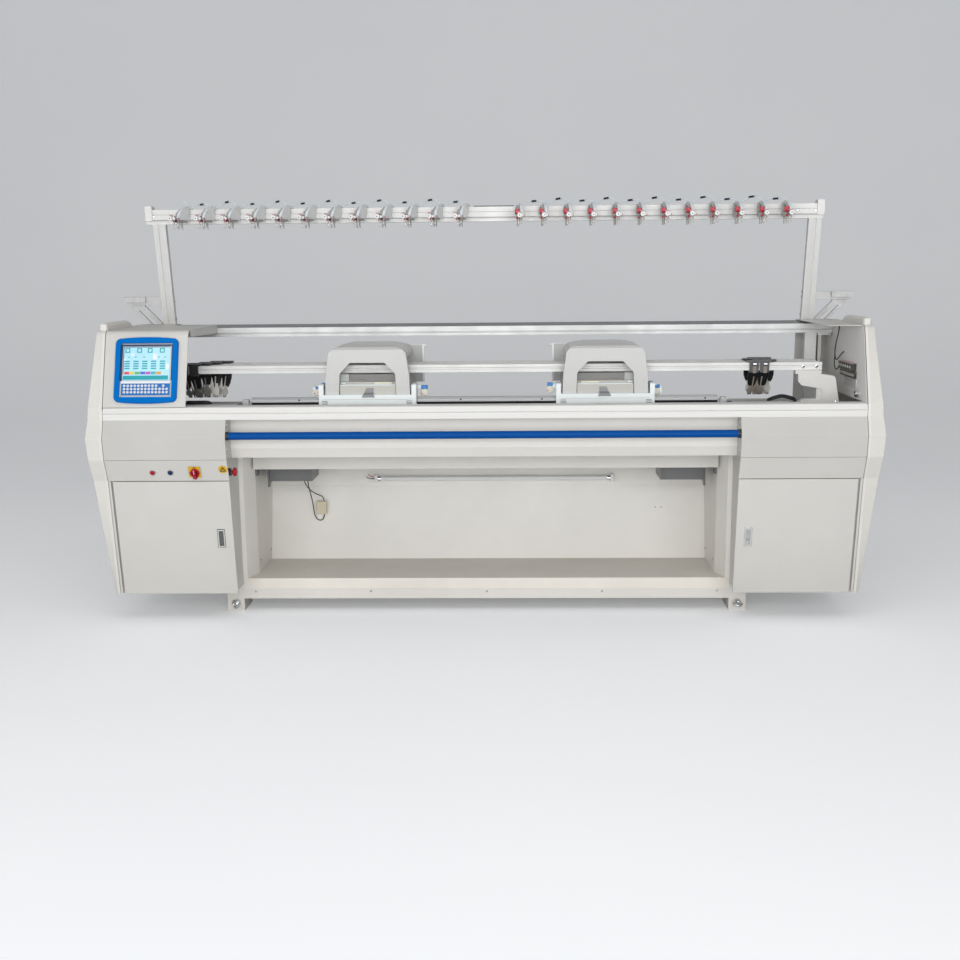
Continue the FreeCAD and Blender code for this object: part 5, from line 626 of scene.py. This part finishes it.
# --- Jumper leads ---------------------------------------------------------------------
# Springy white leads arc from the back of each tension unit to the top of the next, with
# a black sleeve in the middle and a dark blue tip; one end stands loose on the left. A
# black lead lies on the beam between the groups, and two more hang inside the right hood.
lead_white = plastic("lead_white", (0.640, 0.710, 0.770))
tip_blue = plastic("lead_tip_blue", (0.030, 0.055, 0.140))
sleeve_black = plastic("sleeve_black", (0.016, 0.015, 0.015), 0.3)
low_z = (1.9030, 1.9120, 1.9180, 1.9210, 1.9225, 1.9205, 1.9123)
high_z = (1.9030, 1.9080, 1.9200, 1.9300, 1.9335, 1.9290, 1.9127)
unit_places = {"left": (-1.459, 0.1236), "right": (0.168, 0.116)}
units_a_side = 12
jumper_plans = {
    "left": ((0.0254, 0.3459), (0.0360, 0.3435), (0.0540, 0.3380), (0.0730, 0.3295), (0.0950, 0.3145),
             (0.1170, 0.3045), (0.1320, 0.3005)),
    "right": ((0.0096, 0.3507), (0.0264, 0.3517), (0.0434, 0.3457), (0.0604, 0.3377), (0.0843, 0.3163),
              (0.1063, 0.3063), (0.1213, 0.3023))}
loose_ends = {"left": [[(-1.4477, 0.2999, 1.9109), (-1.4477, 0.2999, 1.9209), (-1.4497, 0.2979, 1.9305),
                        (-1.4537, 0.2959, 1.9391)]], "right": []}


def stretches(spans, *shares):
    """Short lengths of lead through the points at these shares of the way along each span."""
    return [[np.array(a) + (np.array(b) - np.array(a)) * t for t in run] for a, b in spans for run in shares]


for side, plan in jumper_plans.items():
    first, pitch = unit_places[side]
    routes = [[(first + pitch * k + x, y, z) for (x, y), z in zip(plan, high_z if k % 2 else low_z)]
              for k in range(units_a_side - 1)]
    jumpers = lead(side + "_jumpers", routes + loose_ends[side], 0.0029, lead_white)
    if side == "left":
        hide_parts("jumper_leads")
    middles = [route[3:5] for route in routes]
    lead(side + "_jumper_sleeves", stretches(middles, (0.06, 0.5, 0.94)), 0.0050, sleeve_black)
    lead(side + "_jumper_collars", stretches(middles, (-0.32, -0.1, 0.05), (0.95, 1.1, 1.3)),
         0.0038, lead_white)
    lead(side + "_jumper_tips", stretches([route[:2] for route in routes], (0.0, 0.25, 0.5)),
         0.0027, tip_blue)
lead("beam_lead", [[(-0.0554, 0.354, 1.9014), (-0.0054, 0.350, 1.9014), (0.0496, 0.357, 1.9014),
                    (0.092, 0.351, 1.9014), (0.142, 0.355, 1.9014)]], 0.0022, rubber)
for k, plug_z in enumerate((1.195, 1.149)):
    lead("casing_lead_%d" % (k + 1), [[
        (1.686, 0.120, 1.3418), (1.685, 0.120, 1.305), (1.677, 0.118, 1.269), (1.670, 0.115, 1.235),
        (1.667, 0.112, plug_z + 0.010), (1.668, 0.104, plug_z - 0.014), (1.670, 0.086, plug_z - 0.028),
        (1.674, 0.068, plug_z - 0.020), (1.680, 0.056, plug_z - 0.005), (1.688, 0.050, plug_z + 0.008),
        (1.6942, 0.045, plug_z + 0.015)]], 0.0025, rubber)

# --- Tension units --------------------------------------------------------------------
# Each unit carries, in its own leaning frame, a white knob with a black centre, a small
# disc beside it, a red block with black studs, a red lug below and a mauve washer; white
# oval plates sit on the beam's rib between the units.


def on_units(side, *parts):
    """Parts given in one unit's leaning frame, repeated for the twelve units of a side."""
    lean = math.radians(-12.0 if side == "left" else 3.4)
    turn = [(math.cos(lean), math.sin(lean), 0.0), (-math.sin(lean), math.cos(lean), 0.0), (0.0, 0.0, 1.0)]
    first, pitch = unit_places[side]
    return repeated(joined(*parts), turn, [(first + pitch * k, 0.290, 0.0) for k in range(units_a_side)])


def facing_front(x, z, rings, sides):
    """A turned part on a unit whose axis points forward, along −Y."""
    return repeated(turned((x, z, 0.0), rings, sides), to_front, [origin])[0]


knob_white = plastic("knob_white", (0.800, 0.800, 0.780))
unit_red = plastic("unit_red", (0.520, 0.010, 0.030))
unit_mauve = plastic("unit_mauve", (0.480, 0.300, 0.330))
unit_black = plastic("unit_black", (0.030, 0.030, 0.032), 0.2)
prong_steel = bare_metal("prong_steel", (0.640, 0.620, 0.580), 0.6, 0.3, (60.0, 60.0, 60.0))
knob_rings = [(0.0100, 0.1265), (0.0108, 0.1275), (0.0108, 0.1412), (0.0096, 0.1424), (0.0030, 0.1428)]
disc_rings = [(0.0055, 0.1180), (0.0062, 0.1190), (0.0062, 0.1260)]
prongs = ((-0.009, -0.092, 1.8040), (-0.004, -0.066, 1.8100), (-0.009, -0.042, 1.8020),
          (0.006, -0.080, 1.8120))
oval = [(0.0095 * math.cos(a), 0.0040 * math.sin(a))
        for a in np.linspace(0.0, 2 * math.pi, 20, endpoint=False)]
for side, red_low, red_top, oval_x in (("left", 1.8455, 1.8565, 0.024), ("right", 1.8555, 1.8810, 0.036)):
    knob = facing_front(-0.0070, 1.8510, knob_rings, 20)
    disc = facing_front(0.0065, 1.8500, disc_rings, 18)
    piece(side + "_unit_knobs", on_units(side, knob, disc), knob_white)
    piece(side + "_unit_reds",
          on_units(side, blocks([(-0.0250, -0.0050, -0.0830, -0.0520, red_low, red_top),
                                 (-0.0205, -0.0025, -0.0860, -0.0700, 1.8345, 1.8440)])),
          unit_red, bevel=0.003)
    studs = ((-0.0200, red_low + 0.0030, 0.0028, 0.0842), (-0.0085, red_low + 0.0060, 0.0026, 0.0842),
             (-0.0190, red_top + 0.0060, 0.0032, 0.0600), (-0.0040, 1.8400, 0.0026, 0.0875),
             (-0.0070, 1.8510, 0.0026, 0.1438))
    piece(side + "_unit_studs",
          on_units(side, *[facing_front(x, z, [(r, 0.0400), (r, reach)], 12) for x, z, r, reach in studs]),
          unit_black)
    piece(side + "_unit_washers",
          on_units(side, blocks([(0.0133, 0.0195, -0.1050, -0.0880, 1.8420, 1.8540),
                                 (-0.0170, 0.0020, -0.1250, -0.1180, 1.8600, 1.8680)])),
          unit_mauve, bevel=0.002)
    piece(side + "_unit_prongs",
          on_units(side, *[turned((x, y, 0.0), [(0.0016, z), (0.0030, z + 0.004), (0.0030, 1.8440)], 12)
                           for x, y, z in prongs]),
          prong_steel, smooth=True)
    first, pitch = unit_places[side]
    piece(side + "_beam_ovals",
          repeated(plate(oval, -0.3298, -0.3285), to_front,
                   [(first + pitch * k + oval_x, 0.0, 1.8585) for k in range(units_a_side)]),
          knob_white)
two_toned(bpy.data.materials["cover_grey"], (0.760, 0.820, 0.855), (0.820, 0.825, 0.820),
          [("X", "LESS_THAN", -0.9), ("X", "GREATER_THAN", 0.9)])

# --- Yarn carriers --------------------------------------------------------------------
# Every carrier's two arms wear a broad black holder below the rail and, from the bend
# down, a flared steel feeder leaf; the left pair at the wall is dull, the others bright.
# The right front carrier shows two chrome rollers over tan plates, the next a red tab.


def leaf(x, start, end, outline, half, tip_half):
    """A tapered plate between two (y, z) points; its clockwise outline is (across, share of the way)."""
    run = np.array(end) - np.array(start)
    length = float(np.hypot(*run))
    dy, dz = run / length
    points, faces = plate([(u, t * length) for u, t in outline[::-1]], -half, half)
    points[:, 2] *= 1.0 - (1.0 - tip_half / half) * np.clip(points[:, 1] / length, 0.0, 1.0)
    turn = np.array([(1.0, 0.0, 0.0), (0.0, dy, dz), (0.0, -dz, dy)])
    return points @ turn + (x, start[0], start[1]), faces


holder_black = plastic("holder_black", (0.016, 0.016, 0.017), 0.5)
leaf_dull = bare_metal("leaf_dull", (0.360, 0.350, 0.320), 0.4, 0.4, (300.0, 40.0, 40.0))
leaf_bright = bare_metal("leaf_bright", (0.820, 0.790, 0.740), 0.3, 0.36, (300.0, 40.0, 40.0))
leaf_tan = bare_metal("leaf_tan", (0.560, 0.500, 0.420), 0.3, 0.4, (300.0, 40.0, 40.0))
holder_outline = (
    (-0.0225, 0.0), (-0.0232, 0.40), (-0.0180, 0.80), (-0.0125, 1.0), (0.0125, 1.0), (0.0190, 0.75),
    (0.0232, 0.35), (0.0225, 0.0))
strip_outline = ((0.0030, 0.30), (0.0022, 1.02), (0.0072, 1.02), (0.0080, 0.30))
feeder_outline = (
    (-0.0065, -0.04), (-0.0085, 0.22), (-0.0155, 0.42), (-0.0165, 0.60), (-0.0090, 0.80), (-0.0085, 0.99),
    (-0.0055, 0.99), (-0.0050, 0.86), (-0.0022, 0.86), (-0.0020, 1.0), (0.0020, 1.0), (0.0022, 0.86),
    (0.0055, 0.86), (0.0060, 0.97), (0.0090, 0.97), (0.0095, 0.74), (0.0150, 0.56), (0.0130, 0.40),
    (0.0075, 0.25), (0.0065, -0.04))
bridge_outline = ((-0.0460, 0.0), (-0.0380, 0.36), (0.0380, 0.36), (0.0460, 0.0))
rod_outline = ((-0.0022, 0.20), (-0.0030, 1.04), (0.0030, 1.04), (0.0022, 0.20))
small_outline = (
    (-0.0030, -0.03), (-0.0040, 0.20), (-0.0095, 0.36), (-0.0090, 0.58), (-0.0035, 0.76), (-0.0030, 1.0),
    (0.0030, 1.0), (0.0040, 0.70), (0.0085, 0.50), (0.0080, 0.34), (0.0040, 0.18), (0.0030, -0.03))
rail_under = 1.1280
carrier_pitch = 0.036
for side in ("left", "right"):
    for k, rail_y in enumerate((-0.105, -0.035, 0.035, 0.105)):
        way = -1.0 if k < 2 else 1.0
        outer = k in (0, 3)
        head = (rail_y, rail_under)
        bend = (way * 0.058, 1.062) if outer else (way * 0.021, 1.078)
        tip = (way * 0.0085, 1.0165) if outer else (way * 0.0027, 1.0165)
        centre = -1.376 + carrier_pitch * k if side == "left" else 1.272 + carrier_pitch * (k % 2)
        body = "%s_carrier_%d" % (side, k + 1)
        holders = [leaf(centre + x, head, bend, holder_outline, 0.0036, 0.0036) for x in (-0.024, 0.024)]
        holders.append(leaf(centre, head, bend, bridge_outline, 0.0034, 0.0034))
        piece(body + "_holders", holders, holder_black, body=body, bevel=0.0008)
        metal = leaf_bright
        if side == "left" and k < 2:
            metal = leaf_dull
        if side == "right" and outer:
            metal = leaf_tan
        leaves = ((feeder_outline, bend, tip, 0.0040, 0.0017, (-0.024, 0.024)),
                  (strip_outline, head, bend, 0.0043, 0.0043, (-0.024, 0.013)),
                  (rod_outline, head, bend, 0.0022, 0.0022, (-0.004, 0.006)),
                  (small_outline, bend, tip, 0.0020, 0.0014, (-0.004, 0.006)))
        piece(body + "_feeders",
              [leaf(centre + x, start, end, outline, half, tip_half)
               for outline, start, end, half, tip_half, places in leaves for x in places], metal, body=body)
roller_rings = [(0.0042, -0.0090), (0.0052, -0.0080), (0.0052, 0.0080), (0.0042, 0.0090)]
roller_x = (1.250, 1.298)
piece("right_carrier_1_rollers",
      repeated(turned(origin, roller_rings, 18), along_x, [(x, -0.1300, 1.1655) for x in roller_x]),
      chrome, body="right_carrier_1")
boxes("right_carrier_1_plates", [(x - 0.009, x + 0.009, -0.1276, -0.1250, 1.1235, 1.1555) for x in roller_x],
      bare_metal("plate_tan", (0.180, 0.160, 0.140), 0.3, 0.45, (40.0, 40.0, 40.0)),
      body="right_carrier_1", bevel=0.001)
boxes("right_carrier_2_tab", (1.2780, 1.2960, -0.0320, -0.0255, 1.0850, 1.0925), unit_red,
      body="right_carrier_2", bevel=0.001)

# --- Cables at the bed's ends ---------------------------------------------------------
# Bundles of black cable lie on the front guide rail beyond the bed: flat on the left,
# humped over on the right. Each comes up from behind the rail and goes down there again.
behind_y = -0.1582
cable_radius = 0.0029
for side, x0, x1, rise in (("left", -1.392, -1.266, 0.0), ("right", 1.304, 1.438, 0.014)):
    strands = []
    for k in range(10):
        y = -0.1865 + 0.0062 * (k % 4)
        z = 1.0042 + 0.0058 * (k // 4)
        edge = 0.003 * (k % 3)
        strands.append([
            (x0 + edge, behind_y, 0.984), (x0 + edge, behind_y, 1.003), (x0 + 0.010 + edge, y, z),
            (x0 + 0.045, y - 0.001, z + rise * 0.8), ((x0 + x1) / 2, y + 0.001, z + rise),
            (x1 - 0.045, y, z + rise * 0.7), (x1 - 0.010 - edge, y, z), (x1 - edge, behind_y, 1.003),
            (x1 - edge, behind_y, 0.984)])
    lead(side + "_bed_cables", strands, cable_radius, rubber)

# --- Right hood fittings --------------------------------------------------------------
# On the hood's lined side the six plugs are black with pale pins and a mauve trim, a black
# terminal row runs below them, then a bare aluminium plate; a chrome bolt closes the row.
plug_black = plastic("plug_black", (0.030, 0.029, 0.028), 0.4)
plug_y = [-0.2055 + 0.042 * k for k in range(6)]
pin_y = [-0.2010 + 0.042 * k + 0.0072 * i for k in range(6) for i in range(4)]
terminal_y = [-0.208 + 0.015 * i for i in range(18)]
boxes("plug_shells", [(1.6692, 1.6957, y, y + 0.0350, 1.1355, 1.1685) for y in plug_y] +
      [(1.6835, 1.6957, -0.2155, 0.0600, 1.1035, 1.1305)], plug_black, bevel=0.0008)
boxes("plug_pins", [(1.6680, 1.6693, y, y + 0.0032, 1.1480, 1.1570) for y in pin_y] +
      [(1.6824, 1.6836, y, y + 0.005, 1.1110, 1.1230) for y in terminal_y], cream)
boxes("plug_trim", [(1.6700, 1.6956, -0.2080, 0.0420, 1.1686, 1.1702),
                    (1.6830, 1.6956, -0.2160, 0.0600, 1.1306, 1.1320),
                    (1.6912, 1.6921, -0.1500, -0.0300, 1.0850, 1.0875)], unit_mauve)
boxes("bare_plate_face", (1.6914, 1.6921, -0.2250, -0.0005, 1.0625, 1.0999), bright_aluminium)
bolt_rings = [(0.0155, 0.0), (0.0155, 0.0145), (0.0145, 0.0160), (0.0090, 0.0162), (0.0080, 0.0145),
              (0.0030, 0.0143)]
piece("hood_bolt", [turned(origin, bolt_rings, 28)], chrome, against_x, (1.6958, -0.260, 1.040))

# --- Right column and back panel ------------------------------------------------------
# A painted channel stands at the right column's edge; the gap beside it is filled by a black
# box of painted shade, and the back panel's two small holes side by side are black patches of painted shade.
boxes("column_channel", [(1.6270, 1.6440, 0.3060, 0.3450, 1.1300, 1.2858),
                         (1.6182, 1.6270, 0.3400, 0.3450, 1.1300, 1.2858)], casing_paint, bevel=0.0008)
boxes("column_gap", (1.6182, 1.6269, 0.3300, 0.3399, 1.1310, 1.2856), plug_black)
boxes("back_panel_holes",
      [(x - 0.0022, x + 0.0022, 0.3855, 0.3862, 0.4070, 0.4115) for x in (0.858, 0.887)], plug_black)

# --- Screws and bolts -----------------------------------------------------------------
# Round heads on the front: rail ends, rail brackets, the bed's bar, the stand's beam and
# the base's sill; then the ones on the posts' inner faces and on the bay's side faces.


def front_heads(name, places, radius, rise, material):
    """Screw heads facing forward at (x, y, z) places: a low dome on a straight rim."""
    rings = [(radius, -0.0004), (radius, rise * 0.5), (radius * 0.8, rise * 0.9), (radius * 0.3, rise)]
    piece(name, [turned([(x, z, -y) for x, y, z in places], rings, 18)], material, to_front)


rail_ends = [s * x for s in (-1, 1) for x in (1.4735, 1.5342)]
front_heads("rail_end_bolts", [(x, -0.1130, 1.1520) for x in rail_ends], 0.0085, 0.0060, chrome)
# Black discs in the bolts' sockets are painted shade.
front_heads("rail_end_sockets", [(x, -0.1188, 1.1520) for x in rail_ends], 0.0045, 0.0010, label_black)
# Grey strips in the beam's two grooves are painted shade.
boxes("beam_grooves", [(-1.6240, 1.6000, 0.3294, 0.3301, low, high)
                       for low, high in ((1.8478, 1.8506), (1.8738, 1.8748))],
      bare_metal("groove_shade", (0.300, 0.300, 0.305), 0.2, 0.5))
bar_bolts_x = (-0.852, -0.478, -0.104, 0.270, 0.644, 1.018)
beam_bolts_x = [s * x - 0.012 for s in (-1, 1) for x in (1.5215, 1.6080)]
sill_screws_x = (-1.105, -0.549, 0.009, 0.559, 1.105)
front_heads("bracket_bolts", [(s * 1.6236, -0.1400, 0.9906) for s in (-1, 1)], 0.0080, 0.0050, chrome)
front_heads("bed_bar_bolts", [(x, -0.1900, 1.0175) for x in bar_bolts_x], 0.0042, 0.0016, label_black)
front_heads("beam_bolts", [(x, 0.3300, 1.8665) for x in beam_bolts_x], 0.0055, 0.0035, chrome)
front_heads("sill_screws", [(x, -0.1350, 0.0960) for x in sill_screws_x], 0.0060, 0.0025, chrome)
# Black discs for the table lugs' holes are painted shade.
front_heads("table_lug_holes", [(x, 0.3020, 1.2800) for x in (1.6200, 1.6780)], 0.0032, 0.0008, label_black)
side_head = turned(origin, [(0.0065, -0.0004), (0.0065, 0.0025), (0.0045, 0.0045), (0.0015, 0.0048)], 18)
for tag, s, facing_in in (("left", -1, along_x), ("right", 1, against_x)):
    post_places = [(1.5650 * s, y, z) for y, z in ((0.4210, 1.481), (0.4255, 1.457), (0.442, 1.372))]
    leg_places = [(1.1070 * s, y, z) for y, z in ((0.0176, 0.2177), (0.3018, 0.2137), (0.160, 0.690))]
    piece(tag + "_post_bolts", repeated(side_head, facing_in, post_places), chrome)
    piece(tag + "_leg_screws", repeated(side_head, facing_in, leg_places), chrome)

# --- Eye bolts on the feet ------------------------------------------------------------
# A chromed lifting eye is screwed into each front foot and stops where it comes tight: the
# left one stands almost upright, the right one lies nearly flat below its collar.
eye_radius = 0.0175
wire_radius = 0.0058
around, across_wire = 36, 14
a, b = np.meshgrid(np.arange(around), np.arange(across_wire), indexing="ij")
turn, roll = (a * math.tau / around)[..., None], (b * math.tau / across_wire)[..., None]
reach = eye_radius + wire_radius * np.cos(roll)
next_a, next_b = (a + 1) % around, (b + 1) % across_wire
ring_faces = np.stack([a * across_wire + b, next_a * across_wire + b, next_a * across_wire + next_b,
                       a * across_wire + next_b], -1).reshape(-1, 4).tolist()
foot_rings = [(0.0205, 0.0), (0.0205, 0.0045), (0.0175, 0.0095), (0.0155, 0.0140), (0.0095, 0.0160)]
collar = turned(origin, foot_rings, 32)
for tag, x, z, normal in (("left", -1.2010, 0.0400, (0.74, 0.66, 0.12)),
                          ("right", 1.2020, 0.0405, (0.17, -0.36, 0.90))):
    normal = np.array(normal) / np.linalg.norm(normal)
    first = np.cross(normal, (0.0, 1.0, 0.0))
    first /= np.linalg.norm(first)
    second = np.cross(normal, first)
    ring = reach * np.cos(turn) * first + reach * np.sin(turn) * second + wire_radius * np.sin(roll) * normal
    eye_ring = (ring.reshape(-1, 3) + (x, -0.1680, z), ring_faces)
    foot = repeated(collar, to_front, [(x, -0.1352, 0.0375)])
    piece(tag + "_eye_bolt", [eye_ring] + foot, chrome, smooth=True)

# --- Doors and cheeks -----------------------------------------------------------------
# Each door's paddle latch sits in a flush case with a round key cylinder, dark on the left
# and chromed on the right; a narrow stile closes the cabinet beside each door's hinge.
door_lean = np.array((75.0, 540.0)) / math.hypot(75.0, 540.0)
on_door = [(1.0, 0.0, 0.0), (0.0, -door_lean[0], door_lean[1]), (0.0, -door_lean[1], -door_lean[0])]
cylinder_rings = [(0.0052, 0.0), (0.0052, 0.0026), (0.0044, 0.0032), (0.0012, 0.0032)]
case_sides = [(-0.0180, -0.0152, -0.0440, 0.0460), (0.0152, 0.0180, -0.0440, 0.0460),
              (-0.0152, 0.0152, 0.0348, 0.0460), (-0.0152, 0.0152, -0.0440, -0.0135)]
latch_case = [blocks([(*side, 0.0, 0.0016) for side in case_sides]),
              turned((0.0, -0.0290, 0.0), cylinder_rings, 20)]
for tag, s, metal in (("left", -1.0, dark_latch), ("right", 1.0, chrome)):
    piece(tag + "_latch_case", latch_case, metal, on_door, (1.204 * s, -0.3774, 0.404), tag + "_door", 0.0004)
    x0, x1 = sorted((1.6895 * s, 1.7005 * s))
    stile = plate([(-0.336, 0.135), (-0.334, 0.135), (-0.4090, 0.677), (-0.4110, 0.677)], x0, x1)
    piece(tag + "_stile", [stile], casing_paint, along_x)

# --- Work lamp ------------------------------------------------------------------------
# The tube under the bed has aluminium end caps with pins; a red and a black wire leave
# its left holder and go into the back panel.
cap = turned(origin, [(0.0126, 0.0), (0.0136, 0.0010), (0.0136, 0.0170), (0.0126, 0.0180)], 28)
piece("lamp_caps", repeated(cap, along_x, [(x, 0.392, 0.561) for x in (-0.5600, 0.6100)]), chrome)
wire_red = plastic("wire_red", (0.400, 0.012, 0.015))
lead("lamp_wire_red", [[(-0.5735, 0.396, 0.568), (-0.588, 0.396, 0.569), (-0.602, 0.400, 0.574),
                        (-0.608, 0.409, 0.580), (-0.609, 0.418, 0.581)]], 0.0016, wire_red)
lead("lamp_wire_black", [[(-0.5735, 0.396, 0.560), (-0.592, 0.396, 0.559), (-0.610, 0.401, 0.562),
                          (-0.618, 0.410, 0.567), (-0.619, 0.420, 0.568)]], 0.0016, rubber)

# --- Update ---------------------------------------------------------------------------
bpy.context.view_layer.update()
